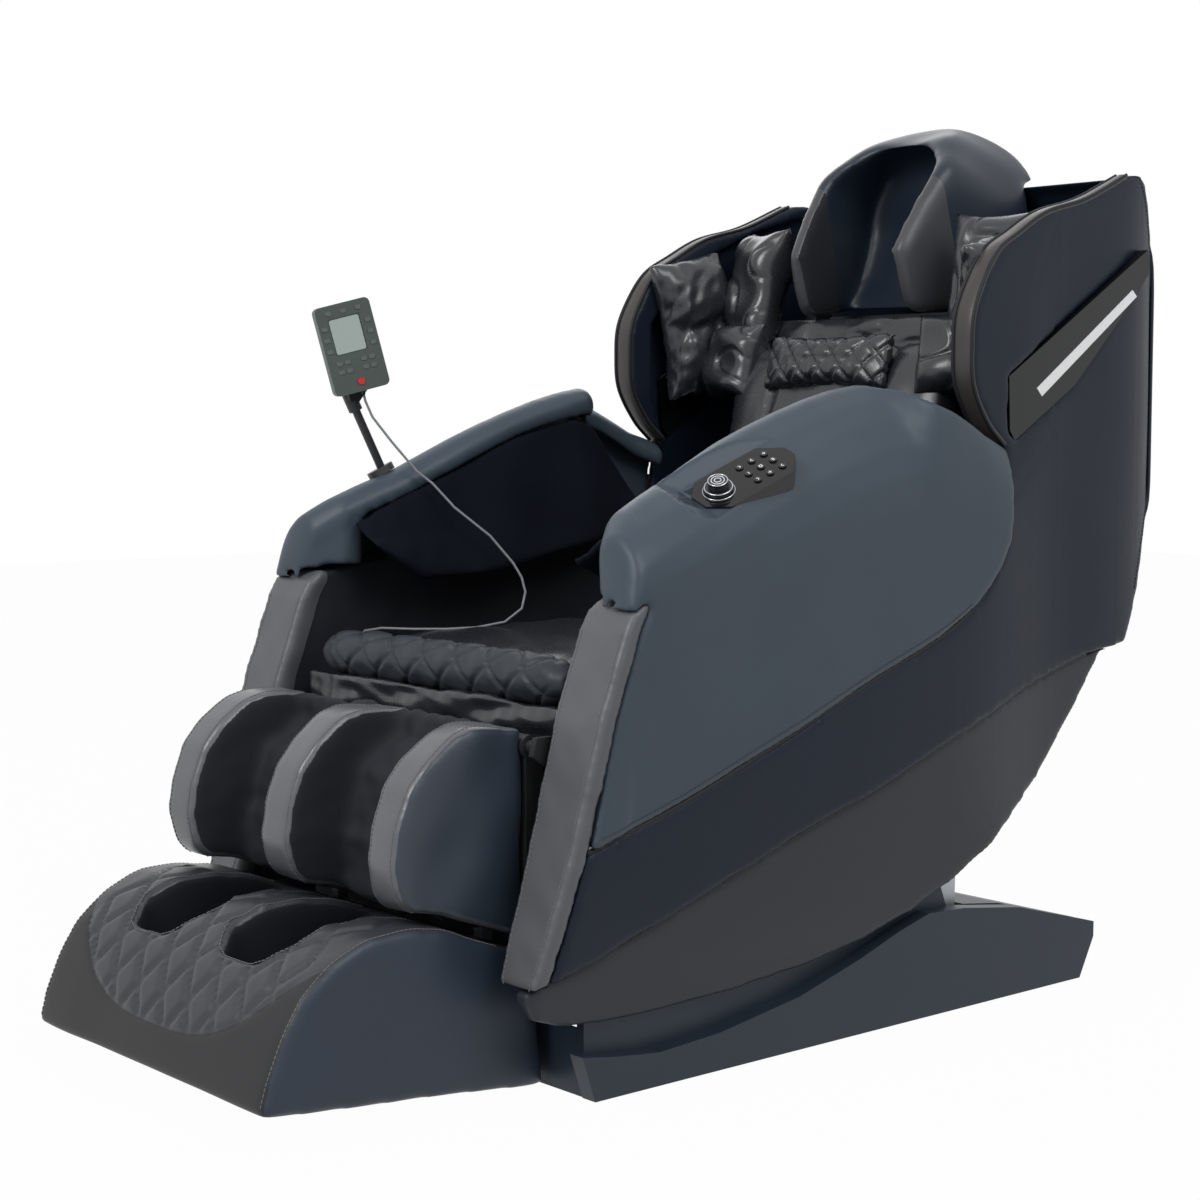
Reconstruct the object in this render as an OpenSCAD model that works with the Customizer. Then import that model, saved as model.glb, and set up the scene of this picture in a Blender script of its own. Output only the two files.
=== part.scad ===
// Massage chair: a reclining capsule that slides on curved rails of a floor base,
// with a lifting calf rest, an extending foot rest, a back massage carriage,
// a flip-back headrest hood, an arm control panel and a swivelling remote.
// Millimetres. X to the sitter's left, the front is -Y, Z up, the floor is Z = 0.

/* [Capsule] */
// Outer width across the arm panels
overall_w = 782; // [772:1:810]
// Clear width between the seat side walls
seat_clear_w = 602; // [598:1:606]
// Wall of the leather covered arm panels
arm_panel_t = 20; // [14:1:26]
// Wall of the side shells
shell_t = 13; // [8:1:15]
// Thickness of the padded wings
wing_d = 36; // [30:1:44]
// Wall of the lower side shells
lower_shell_t = 9; // [5:1:14]
// How far the lower side shells lie inboard of the side shells
lower_shell_inset = 11; // [8:1:16]
// Depth of the padded front strip of each arm box
strip_d = 25; // [18:1:30]
// Sheet of the belly and rear panels
panel_t = 5; // [3:1:8]

/* [Recline] */
// Radius of the curved guide slots
rail_r = 670; // [660:1:680]
// Recline travel in degrees
recline_travel = 26; // [15:1:27]
// Width of the guide slot
slot_w = 30; // [24:1:34]
// Sheet of the guide plates
rail_t = 6; // [4:1:7]
// Running clearance of the guide shoes in their slot
shoe_fit = 0.3; // [0.2:0.1:0.6]

/* [Base] */
// Width over the two base side covers
base_w = 702; // [690:1:706]
// Wall of the base side covers
cover_t = 24; // [16:1:24]
// Height of the floor glides
glide_h = 14; // [10:1:20]
// Radius of the floor glides
glide_r = 20; // [14:1:20]
// Height of the base frame tubes
tube_h = 30; // [20:1:34]
// Width of the base frame tubes
tube_w = 40; // [30:1:44]

/* [Seat and back] */
// Thickness of the seat cushion over its pan
seat_cushion_t = 118; // [80:1:122]
// Radius of the quilted front roll
roll_r = 33; // [28:1:34]
// Length of the quilted front roll
roll_l = 524; // [480:1:560]
// Lean of the backrest from upright in degrees
back_lean = 16; // [14:1:18]
// Thickness of the back cushion
back_cushion_t = 80; // [60:1:90]
// Width of the back cushion
back_cushion_w = 446; // [400:1:450]
// Width of the shoulder airbags, from the wing inwards
shoulder_airbag_t = 46; // [30:1:50]

/* [Leg rest] */
// Width of the calf rest
calf_w = 524; // [500:1:540]
// Width of each calf channel
calf_channel_w = 164; // [140:1:170]
// Width of the middle calf wall
calf_mid_w = 64; // [50:1:70]
// Depth of the calf channels
calf_channel_d = 88; // [60:1:95]
// Width of the foot rest
foot_w = 542; // [520:1:560]
// Width of each foot well
foot_well_w = 130; // [110:1:150]
// Radius of the calf hinge pins
hinge_pin_r = 8; // [6:1:10]
// Side of the square foot slide bars
slide_bar = 16; // [12:1:18]
// Sliding clearance of the foot slide bars
slide_fit = 0.4; // [0.2:0.1:0.8]

/* [Headrest] */
// Width of the headrest hood
hood_w = 318; // [300:1:340]
// Wall of the headrest hood
hood_t = 30; // [24:1:36]

/* [Controls] */
// Length of the arm control panel
panel_l = 148; // [140:1:160]
// Width of the arm control panel
panel_w = 72; // [68:1:78]
// Thickness of the arm control panel
panel_h = 24; // [20:1:28]
// Radius of the control knob
knob_r = 13; // [10:1:15]
// Radius of the panel keys
key_r = 5; // [3:0.5:6]
// Travel of the panel keys
key_travel = 1; // [0.5:0.1:1.5]
// Width of the remote
remote_w = 80; // [70:1:90]
// Height of the remote
remote_l = 126; // [110:1:140]
// Thickness of the remote
remote_t = 20; // [16:1:24]
// Radius of the remote's pole
pole_r = 6; // [4:0.5:7]
// Radius of the remote's cord
cord_r = 1.8; // [1.2:0.1:1.9]

/* [Hidden] */

// clearance between pieces that touch in one body, and between bodies
seat_gap = 0.3;
riser_x = base_w / 2 - cover_t - 13;
body_gap = 0.6;
half_w = overall_w / 2;
wall_x = seat_clear_w / 2;
wall_t = 12;
big = 2000;

// the recline centre, which the guide slots run round
centre_y = 28;
centre_z = 920;
shoe_r = slot_w / 2 - shoe_fit;
front_shoe_a = 0;
rear_shoe_a = 24;

// side outlines as [y, z] points, from the front to the rear
seam_pts = [[-405, 313], [-264, 353], [-104, 411], [86, 483], [212, 529],
  [276, 563], [321, 601], [348, 650], [358, 725]];
step_pts = [[-449, 160], [-409, 169], [-236, 227], [-59, 289], [129, 348],
  [237, 387], [405, 440], [562, 478], [657, 487]];
rear_pts = [[657, 487], [699, 570], [722, 631], [757, 721], [781, 812],
  [787, 874], [775, 937], [763, 981], [741, 1054], [719, 1117], [698, 1155],
  [680, 1168], [637, 1164]];
wing_pts = [[637, 1164], [541, 1125], [452, 1102], [387, 1070], [346, 1047],
  [317, 1013], [291, 963], [286, 915], [291, 862], [322, 812], [358, 780]];
crest_pts = [[-400, 426], [-391, 460], [-346, 580], [-327, 678], [-294, 704],
  [-248, 724], [-202, 742], [-110, 784], [-18, 822], [74, 850], [150, 862],
  [175, 856], [200, 842], [230, 833], [264, 819], [293, 799], [320, 789], [356, 776]];
front_pts = [[-476, 156], [-432, 304], [-391, 460], [-352, 566], [-338, 590]];
belly_pts = [[-476, 148], [-455, 115], [-414, 101], [-358, 95], [-283, 93],
  [-145, 97], [0, 110], [100, 128], [190, 155], [268, 188], [343, 228],
  [461, 313], [540, 397], [604, 476]];
ridge_pts = [[-388, 61], [-330, 52], [-265, 45], [-163, 51], [-22, 73],
  [91, 104], [169, 130], [229, 146], [302, 143], [421, 127], [591, 82]];

// half width of the outer surface: by y over the rear, and by z over the front
plan_pts = [[-500, half_w], [100, half_w], [250, half_w - 3], [350, half_w - 13],
  [420, half_w - 25], [480, half_w - 33], [620, half_w - 35], [680, half_w - 41],
  [730, half_w - 56], [765, half_w - 81], [790, half_w - 115]];
height_pts = [[80, half_w - 46], [130, half_w - 29], [200, half_w - 17],
  [300, half_w - 7], [460, half_w], [600, half_w - 1], [700, half_w - 14],
  [790, half_w - 31], [850, half_w - 25], [1000, half_w - 25], [1180, half_w - 39]];
crest_x_pts = [[-432, half_w - 3], [-391, half_w - 3], [-346, half_w - 16],
  [-327, half_w - 46], [-290, half_w - 76], [-200, half_w - 94],
  [-100, half_w - 101], [130, half_w - 101], [155, half_w - 91], [173, half_w - 60],
  [185, half_w - 36], [201, half_w - 19], [240, half_w - 14], [300, half_w - 14],
  [356, half_w - 25]];

// arm leaf: lower edge height by y
leaf_pts = [[-290, 640], [-205, 592], [-120, 590], [0, 610], [150, 640], [236, 655]];
leaf_t = 12;
leaf_lean = 54;
lip_drop = 38;
lip_w = 36;

// wing housing and light bar outlines
housing_pts = [[673, 1059], [365, 874], [368, 800], [379, 786], [509, 863], [640, 985], [679, 1028]];
bar_pts = [[424, 858], [435, 847], [647, 991], [637, 1000]];
wing_in = half_w - 25 - wing_d;
housing_x = half_w - 27;
housing_in = 18;

// calf rest and foot rest outlines
calf_pts = [[-585, 261], [-595, 300], [-588, 346], [-570, 391], [-541, 422],
  [-509, 446], [-481, 454], [-440, 453], [-402, 449], [-402, 192], [-449, 208],
  [-524, 236], [-565, 242]];
foot_pts = [[-783, 46], [-772, 86], [-752, 132], [-725, 173], [-685, 206],
  [-637, 226], [-581, 230], [-524, 220], [-449, 192], [-400, 176], [-376, 6]];
hinge_y = -395;
hinge_z = 425;
hinge_tube_r = 14;
calf_frame_y = -401.5;
calf_frame_d = 27;

// seat
pan_z = 396;
seat_front_y = -290;
seat_rear_y = 250;
apron_front_y = -360;
roll_y = -328;
apron_h = 66;

// back, in a frame that leans with it
back_y = 345;
back_z = 440;
back_cushion_l = 500;
track_y = 46;
track_x = 190;
track_l = 580;
carriage_z = 150;
carriage_h = 130;
head_x = 80;
head_pin_r = 5;

// headrest hinge
hood_z = 1172;
hood_hinge_y = 700;

// control panel frame and key grid
panel_pos = [half_w - 49, -116, 746];
panel_tilt = [27, 23, 0];
knob_off = [0, -42];
knob_stem_r = 5;
knob_fit = 0.06;
key_grid = [for (row = [0:2]) for (col = [0:2]) [row * 18 - 18, col * 20 + 6]];

// remote and its pole
remote_pos = [-290, -272, 916];
remote_turn = 68;
remote_roll = -14.6;
pole_foot = [-312, -204, 741];
pole_top = [-312, -257, 842];
holder_r = 20;

// the remote's cord, from the remote to the gap beside the seat cushion
cord_pts = [[-284, -254.6, 849], [-284, -252, 840], [-280, -243, 818], [-266, -220, 783],
  [-250, -188, 741], [-238, -170, 724], [-217, -147, 690], [-190, -104, 649],
  [-170, -78, 610], [-161, -70, 590], [-156, -67, 569], [-153, -76, 546],
  [-157, -104, 528], [-168, -146, 522], [-184, -184, 521], [-216, -222, 521],
  [-256, -246, 521], [-284, -256, 516], [-293, -260, 504], [-295.5, -262, 488],
  [-299.6, -262, 474]];
cord_sides = 8;
cord_ring_gap = 6 * cord_r;

// ---- shared helpers ----

// turns a shape drawn in (y, z) into a slab from x0 to x1
module slab(x0, x1) {
  translate([x0, 0, 0]) rotate([90, 0, 90]) linear_extrude(x1 - x0) children();
}

// side 1 is the sitter's left, side -1 the right
module on_side(side) {
  mirror([side < 0 ? 1 : 0, 0, 0]) children();
}

function reversed(list) = [for (i = [len(list) - 1:-1:0]) list[i]];
function shifted(list, dy, dz) = [for (p = list) [p[0] + dy, p[1] + dz]];
function tail(list) = [for (i = [1:len(list) - 1]) list[i]];
function arc(r, a0, a1, n) = [for (i = [0:n]) let (a = a0 + (a1 - a0) * i / n)
  [centre_y + r * sin(a), centre_z - r * cos(a)]];
function flat(list) = [for (a = list) for (b = a) b];

// closed solid through rings of points; a ring is a loop of an even number of points
// whose first half faces its second half, so the end caps are strips between the two
module skin(rings) {
  n = len(rings[0]);
  m = len(rings);
  sides = [for (i = [0:m - 2]) for (j = [0:n - 1])
    let (a = i * n + j, b = i * n + (j + 1) % n, c = b + n, d = a + n)
    each [[a, c, b], [a, d, c]]];
  caps = [for (j = [0:n / 2 - 2]) let (k = n - 1 - j, o = (m - 1) * n)
    each [[j, j + 1, k - 1, k], [o + k, o + k - 1, o + j + 1, o + j]]];
  polyhedron(points = flat(rings), faces = concat(sides, caps));
}

// padded block on the XY plane with a crowned top, drawn-in sides and sewn channels
module cushion(w, l, t, crown, groove, lines_x, lines_y) {
  nx = 24;
  ny = 18;
  function edge(u) = 1 - pow(abs(2 * u - 1), 4);
  function line(u, n) = n == 0 ? 0 : pow(cos(180 * n * u), 20);
  function top(u, v) = t - crown + crown * edge(u) * edge(v)
    - groove * edge(u) * edge(v) * max(line(u, lines_x), line(v, lines_y));
  function inset(k) = 6 * (1 - sin(180 * k));
  rim = concat([for (i = [0:nx - 1]) [i / nx, 0]], [for (j = [0:ny - 1]) [1, j / ny]],
    [for (i = [nx:-1:1]) [i / nx, 1]], [for (j = [ny:-1:1]) [0, j / ny]]);
  top_pts = [for (j = [0:ny]) for (i = [0:nx])
    [(i / nx - 0.5) * (w - 12), (j / ny - 0.5) * (l - 12), top(i / nx, j / ny)]];
  function level(k, z) = [for (p = rim) [(p[0] - 0.5) * (w - 2 * inset(k)),
    (p[1] - 0.5) * (l - 2 * inset(k)), z]];
  mid = level(0.5, (t - crown) / 2);
  low = level(0, 0);
  nt = len(top_pts);
  nr = len(rim);
  function top_i(k) = round(rim[k][0] * nx) + round(rim[k][1] * ny) * (nx + 1);
  faces_top = [for (j = [0:ny - 1]) for (i = [0:nx - 1]) let (a = j * (nx + 1) + i)
    each [[a, a + nx + 1, a + nx + 2], [a, a + nx + 2, a + 1]]];
  faces_side = [for (k = [0:nr - 1]) let (q = (k + 1) % nr)
    each [[top_i(k), top_i(q), nt + q], [top_i(k), nt + q, nt + k],
      [nt + k, nt + q, nt + nr + q], [nt + k, nt + nr + q, nt + nr + k]]];
  faces_low = [for (k = [0:nr - 1]) [nt + nr + k, nt + nr + (k + 1) % nr, nt + 2 * nr]];
  polyhedron(points = concat(top_pts, mid, low, [[0, 0, 0]]),
    faces = concat(faces_top, faces_side, faces_low));
}

// the capsule's outer surface as a solid, moved in by inset
module envelope(inset) {
  intersection() {
    translate([0, 0, 60]) linear_extrude(1140)
      polygon(concat([[0, -520]], [[plan_pts[0][1] - inset, -520]],
        [for (p = plan_pts) [p[1] - inset, p[0]]], [[0, 790]]));
    rotate([90, 0, 0]) translate([0, 0, -820]) linear_extrude(1340)
      polygon(concat([[0, 80]], [for (p = height_pts) [p[1] - inset, p[0]]], [[0, 1180]]));
  }
}

// places children in the leaning frame of the back
module in_back() {
  translate([0, back_y, back_z]) rotate([-back_lean, 0, 0]) children();
}

// straight round bar between two points
module rod(p, q, r) {
  d = q - p;
  l = norm(d);
  translate(p) rotate([0, acos(d[2] / l), atan2(d[1], d[0])]) cylinder(h = l, r = r, $fn = 32);
}

// ---- base ----

module base_frame() {
  color("dimgray") translate([0, 0, glide_h]) {
    for (side = [-1, 1])
      on_side(side) translate([300 - tube_w, -350, 0]) cube([tube_w, 880, tube_h]);
    translate([tube_w - 300, 60, 0]) cube([600 - 2 * tube_w, tube_w, tube_h]);
    for (y = [-350, 490]) translate([seat_gap - riser_x, y, 0])
      cube([2 * (riser_x - seat_gap), tube_w, tube_h]);
  }
}

module floor_glides() {
  color("black") for (side = [-1, 1]) for (y = [-325, 80, 505])
    translate([side * 276, y, 0]) cylinder(h = glide_h, r = glide_r, $fn = 48);
}

module guide_plate() {
  difference() {
    slab(300, 300 + rail_t) polygon(concat(arc(rail_r - slot_w / 2 - 15, -29, 29, 30),
      [[330, glide_h + 6], [-265, glide_h + 6]]));
    intersection() {
      translate([290, centre_y, centre_z]) rotate([0, 90, 0]) difference() {
        cylinder(h = 30, r = rail_r + slot_w / 2, $fn = 180);
        translate([0, 0, -1]) cylinder(h = 32, r = rail_r - slot_w / 2, $fn = 180);
      }
      slab(290, 320) polygon(concat([[centre_y, centre_z]],
        arc(900, front_shoe_a - recline_travel - 1.6, rear_shoe_a + 1.6, 12)));
    }
  }
}

module guide_rails() {
  color("silver") for (side = [-1, 1]) on_side(side) guide_plate();
}

// side cover with the swooping ridge, and the recessed riser above it
module base_cover(side) {
  cover_x = base_w / 2 - cover_t;
  color("#3c444b") on_side(side) union() {
    slab(cover_x, base_w / 2) polygon(concat([[-368, 3]], ridge_pts, [[591, 60], [560, 3]]));
    slab(riser_x, cover_x) polygon(concat([[-366, 3]], [[-366, 108]],
      [for (p = belly_pts) if (p[0] > -360 && p[0] < 300) [p[0], p[1] + 12]],
      [[300, 120], [421, 100], [540, 80], [540, 3]]));
  }
}

module base_tail_cover() {
  tail_x = riser_x - seat_gap;
  top_line = [[342, 137], [421, 127], [591, 82], [591, 60], [560, 3]];
  under_line = [[552, 3], [584, 60], [584, 77], [421, 121], [342, 131]];
  foot_z = glide_h + tube_h + seat_gap;
  color("#3c444b") difference() {
    union() {
      slab(-tail_x, tail_x) polygon(concat(top_line, under_line));
      for (x = [-120, 114])
        slab(x, x + 6) polygon([[492, foot_z], [528, foot_z], [528, 93], [492, 103]]);
    }
    translate([169.5, 540, 21.5]) cube([71, 60, 47]);
  }
}

module base_front_cover() {
  front_x = riser_x - seat_gap;
  color("#3c444b") translate([-front_x, -366, 3]) cube([2 * front_x, panel_t, 82]);
}

module mains_inlet() {
  color("black") difference() {
    translate([169.8, 548, 21.8]) cube([70.4, 41, 46.4]);
    translate([174, 570, 30]) cube([30, 30, 24]);
    translate([211.5, 573, 31.5]) cube([21, 30, 27]);
  }
}

module mains_switch() {
  color("darkred") translate([222, 583, 45]) rotate([0, 90, 0]) intersection() {
    translate([0, 0, -10]) cylinder(h = 20, r = 13, $fn = 64);
    translate([-13, -6.5, -10]) cube([26, 18, 20]);
  }
}

// ---- capsule structure ----

function shoe_at(a) = [centre_y + rail_r * sin(a), centre_z - rail_r * cos(a)];

module seat_frame() {
  fs = shoe_at(front_shoe_a);
  rs = shoe_at(rear_shoe_a);
  color("dimgray") difference() {
    union() {
      for (side = [-1, 1]) on_side(side) {
        slab(281, 290) polygon([[hinge_y - 18, hinge_z - 8], [hinge_y - 12, hinge_z + 14],
          [hinge_y + 12, hinge_z + 14], [hinge_y + 60, pan_z + 3], [384, pan_z + 3],
          [384, pan_z - 36], [rs[0] + 24, rs[1] - 16], [rs[0] - 14, rs[1] - 22],
          [rs[0] - 40, pan_z - 50], [fs[0] + 50, pan_z - 60], [fs[0] + 22, fs[1] - 20],
          [fs[0] - 22, fs[1] - 20], [fs[0] - 50, pan_z - 60], [-300, pan_z - 40],
          [hinge_y, hinge_z - 20]]);
        for (y = [-290, 150])
          translate([290, y, pan_z - 26]) cube([wall_x - 290, 50, 26]);
      }
      for (y = [-345, -40])
        translate([-281, y, pan_z - 34]) cube([562, 40, 30]);
      translate([-281, 344, pan_z - 34]) cube([562, 40, 34 - seat_gap]);
      translate([-281, -345, pan_z - 4]) cube([562, 600, 4]);
      for (side = [-1, 1]) on_side(side)
        translate([262 + body_gap, hinge_y, hinge_z]) rotate([0, 90, 0])
          cylinder(h = 281 - 262 - body_gap, r = hinge_pin_r, $fn = 48);
    }
  }
}

// nylon shoes that run in the curved slots
module guide_shoes() {
  color("ivory") for (side = [-1, 1]) on_side(side) for (a = [front_shoe_a, rear_shoe_a])
    translate([290, shoe_at(a)[0], shoe_at(a)[1]]) rotate([0, 90, 0]) {
      cylinder(h = 9.5, r = shoe_r + 5, $fn = 64);
      translate([0, 0, 9.5]) cylinder(h = rail_t + 2, r = shoe_r, $fn = 64);
    }
}

module lower_shell(side) {
  outline = concat(belly_pts, reversed(shifted(step_pts, 0, -seat_gap)));
  color("#47474a") on_side(side) difference() {
    intersection() {
      slab(328, half_w) polygon(outline);
      envelope(lower_shell_inset);
    }
    intersection() {
      slab(320, half_w) offset(delta = -lower_shell_t) polygon(outline);
      envelope(lower_shell_inset + lower_shell_t);
    }
  }
}

// closing sheet under the seat, from below the seat front to the rear of the back
module belly_panel() {
  line = [for (p = belly_pts) if (p[0] > -350) p];
  first = line[0];
  wall_y = -345 - seat_gap - panel_t;
  color("#38383b") slab(-280, 280) polygon(concat([[wall_y, pan_z - 8], [wall_y, first[1]]],
    line, reversed(shifted(line, -2, panel_t)),
    [[wall_y + panel_t, first[1] + panel_t], [wall_y + panel_t, pan_z - 8]]));
}

// ---- arms ----

// outer half width of the arm panel at height z, for a crest at height top
function arm_x(y, z, top) =
  let (low = 560, wide = half_w - 1, cx = lookup(y, crest_x_pts))
  z <= low || top <= low ? min(wide, lookup(z, height_pts)) :
  let (t = min(1, (top - z) / (top - low))) cx + (wide - cx) * (1 - pow(1 - t, 5));

function arm_ring(y) =
  let (top = lookup(y, crest_pts), foot = lookup(y, seam_pts) + seat_gap * 2,
    cx = lookup(y, crest_x_pts), h = top - foot, lip = min(lip_drop, h * 0.5), n = 9)
  concat(
    [for (i = [0:n]) let (z = foot + (h - 3) * (1 - pow(1 - i / n, 1.4))) [arm_x(y, z, top), y, z]],
    [[cx - 6, y, top], [cx - 22, y, top - 3], [cx - lip_w, y, top - lip * 0.45],
     [cx - lip_w, y, top - lip]],
    [[cx - lip_w + 14, y, top - lip], [cx - lip_w + 14, y, top - lip * 0.7],
     [cx - 18, y, top - 20], [cx - 8, y, top - 20]],
    [for (i = [n:-1:0]) let (z = foot + (h - 21) * (1 - pow(1 - i / n, 1.4)))
      [max(cx - 6 + (n - i), arm_x(y, z, top) - arm_panel_t), y, z]]);

module arm_panel(side) {
  stations = [-404, -388, -366, -346, -327, -310, -290, -248, -202, -150, -100, -50, 0,
    50, 100, 140, 160, 175, 188, 204, 240, 275, 305, 330, 348, 356];
  color("#3b4652") difference() {
    on_side(side) skin([for (y = reversed(stations)) arm_ring(y)]);
    on_side(side) slab(0, big) polygon(concat(
      [[-600, 100], [-600, 591], [-338, 590 + 2 * seat_gap], [-315, 604 + 5 * seat_gap]],
      reversed(shifted(front_pts, strip_d + seat_gap * 2, 4))));
    if (side > 0) translate(panel_pos) rotate(panel_tilt)
      translate([-panel_w / 2 - seat_gap, -panel_l / 2 - seat_gap, -panel_h - seat_gap])
        cube([panel_w + 2 * seat_gap, panel_l + 2 * seat_gap, 80]);
    if (side < 0) on_holder_foot(-seat_gap) cylinder(h = 40, r = holder_r + seat_gap, $fn = 48);
  }
}

module strip_outline() {
  polygon(concat(front_pts, [[-316, 604]], reversed(shifted(front_pts, strip_d, 4))));
}

// padded front strip, seat side wall and the floor of the arm trough, as one box
module arm_box(side) {
  floor_top = [[-312, 601], [-238, 613], [0, 640], [200, 665], [300, 684]];
  color("#55575a") on_side(side) {
    intersection() {
      slab(wall_x - 3, half_w) strip_outline();
      envelope(0.5);
    }
    slab(wall_x, wall_x + wall_t) polygon(concat([[-448, 166], [-365, 466], [-320, 574]],
      shifted(floor_top, 26, -19), [[352, 671], [352, 420]],
      reversed(arc(rail_r - slot_w / 2 - 24, -33, 30, 16)), [[-380, 170]]));
    slab(wall_x, half_w - arm_panel_t - 3)
      polygon(concat(floor_top, reversed(shifted(floor_top, 0, -24))));
  }
}

// fabric covered arm airbag leaf that hangs from the inner lip of the arm panel
module arm_leaf(side) {
  stations = [-285, -250, -205, -160, -120, -60, 0, 60, 110, 150, 190, 230];
  function ring(y) =
    let (lip = min(lookup(y, crest_x_pts), half_w - 91) - lip_w,
      top = lookup(y, crest_pts) - lip_drop - seat_gap * 3,
      low = lookup(y, leaf_pts), hang = y > 130 ? (y - 130) * 0.9 : 0, high = top - hang,
      mid = (high + low) / 2)
    [[lip + leaf_t, y, high], [lip + leaf_t - leaf_lean * 0.5, y, mid],
     [lip + leaf_t - leaf_lean, y, low + 6], [lip + leaf_t - 4 - leaf_lean, y, low],
     [lip + 4 - leaf_lean, y, low], [lip - leaf_lean, y, low + 6],
     [lip - leaf_lean * 0.5, y, mid], [lip, y, high]];
  color("#1d222c") on_side(side) skin([for (y = stations) ring(y)]);
}

// side shell: the sweeping stripe, the rear side and the padded wing
module side_shell(side) {
  outline = concat(step_pts, tail(rear_pts), tail(wing_pts), reversed(seam_pts));
  color("#2a3442") on_side(side) difference() {
    intersection() {
      slab(wing_in, half_w) polygon(outline);
      envelope(0);
    }
    // the stripe in front of the back is a plain wall
    intersection() {
      slab(0, half_w) polygon([[-480, 100], [262, 100], [262, 420], [364, 520], [364, 770],
        [270, 786], [-480, 500]]);
      envelope(shell_t);
    }
    // the back of the capsule is hollow behind the padded wing edge
    intersection() {
      slab(0, half_w) polygon([[352, 450], [560, 495], [645, 500], [745, 730], [770, 874],
        [745, 980], [700, 1105], [668, 1148], [560, 1118], [450, 1070], [370, 1010],
        [330, 960], [330, 850], [364, 780]]);
      envelope(shell_t);
    }
    slab(housing_x - housing_in, half_w + 10) offset(delta = seat_gap) polygon(housing_pts);
  }
}

module wing_housing(side) {
  color("black") on_side(side) difference() {
    slab(housing_x - housing_in, housing_x) polygon(housing_pts);
    slab(housing_x - 3, housing_x + 1) offset(delta = 0.2) polygon(bar_pts);
  }
}

module light_bars() {
  color("white") for (side = [-1, 1]) on_side(side)
    slab(housing_x - 3, housing_x + 1) polygon(bar_pts);
}

// ---- back and seat ----

module back_shell() {
  color("#2a3442") {
    for (side = [-1, 1]) on_side(side) difference() {
      intersection() {
        slab(-1, wing_in - seat_gap) polygon(concat([[620, 487]],
          [for (p = rear_pts) if (p[0] > 640) p], [[672, 1166], [672, 600], [620, 560]]));
        envelope(seat_gap);
      }
      intersection() {
        slab(-2, half_w) offset(delta = -8) polygon(concat(rear_pts, [[500, 1164], [500, 487]]));
        envelope(8);
      }
    }
    for (side = [-1, 1]) on_side(side)
      translate([60, hood_hinge_y - 12, hood_z - 14]) cube([40, 10, 14 - seat_gap]);
  }
}

module back_cushion() {
  color("#20252d") in_back()
    translate([0, 0, back_cushion_l / 2]) rotate([90, 0, 0])
      cushion(back_cushion_w, back_cushion_l, back_cushion_t, 18, 6, 3, 0);
}

module neck_pad() {
  color("#2c3138") in_back() translate([0, 3.7 - back_cushion_t, back_cushion_l - 46])
    rotate([90, 0, 0]) cushion(250, 86, 26, 10, 4, 5, 2);
}

module seat_cushion() {
  w = seat_clear_w - 32;
  l = seat_rear_y - seat_front_y;
  color("#26292d") translate([0, (seat_rear_y + seat_front_y) / 2, pan_z])
    cushion(w, l, seat_cushion_t, 14, 5, 0, 3);
}

// quilted roll across the seat front
module seat_roll() {
  n = 20;
  m = 30;
  function groove(u, a) = 2.5 * max(pow(abs(cos(180 * 7 * u + a)), 12), pow(abs(cos(180 * 7 * u - a)), 12));
  function taper(u) = sqrt(1 - pow(abs(2 * u - 1), 9) * 0.8);
  rings = [for (i = [0:m]) let (u = i / m) [for (j = [0:n - 1]) let (a = 360 * j / n,
    r = (roll_r - groove(u, a)) * taper(u))
    [(u - 0.5) * roll_l, roll_y + r * sin(a), pan_z + apron_h + seat_gap + roll_r + r * cos(a)]]];
  color("#3a3c40") skin(reversed(rings));
}

// padded apron under the roll, with a thin front lip
module front_apron() {
  top = pan_z + apron_h;
  color("#33353a") slab(-270, 270) polygon([[apron_front_y, pan_z], [apron_front_y, top + 6],
    [apron_front_y + 8, top + 9], [apron_front_y + 16, top + 3], [apron_front_y + 24, top],
    [seat_front_y - 1, top - 2], [seat_front_y - 1, pan_z]]);
}

module shoulder_airbag(side) {
  color("#20252d") on_side(side) translate([wing_in - seat_gap, 412, 962])
    rotate([12, 0, 0]) rotate([0, -90, 0])
      cushion(230, 156, shoulder_airbag_t, 26, 14, 2, 0);
}

// ---- massage unit ----

module massage_track() {
  color("silver") difference() {
    in_back() {
      for (side = [-1, 1]) on_side(side) difference() {
        translate([track_x - 12, track_y, -90]) cube([24, 40, track_l + 90]);
        translate([track_x - 13, track_y + 8, 60]) cube([14, 24, track_l - 90]);
      }
      for (z = [-20, track_l - 30])
        translate([12 - track_x, track_y + 30, z]) cube([2 * track_x - 24, 10, 30]);
      translate([12 - track_x, 0.5, 20]) cube([2 * track_x - 24, track_y + 30, 8]);
      translate([12 - track_x, 0.5, back_cushion_l - 20]) cube([2 * track_x - 24, 3, 14]);
      for (side = [-1, 1]) on_side(side)
        translate([track_x - 12, 0.5, back_cushion_l - 20]) cube([24, track_y - 0.5, 14]);
    }
    translate([-300, 200, 0]) cube([600, 400, pan_z]);
  }
}

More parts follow.
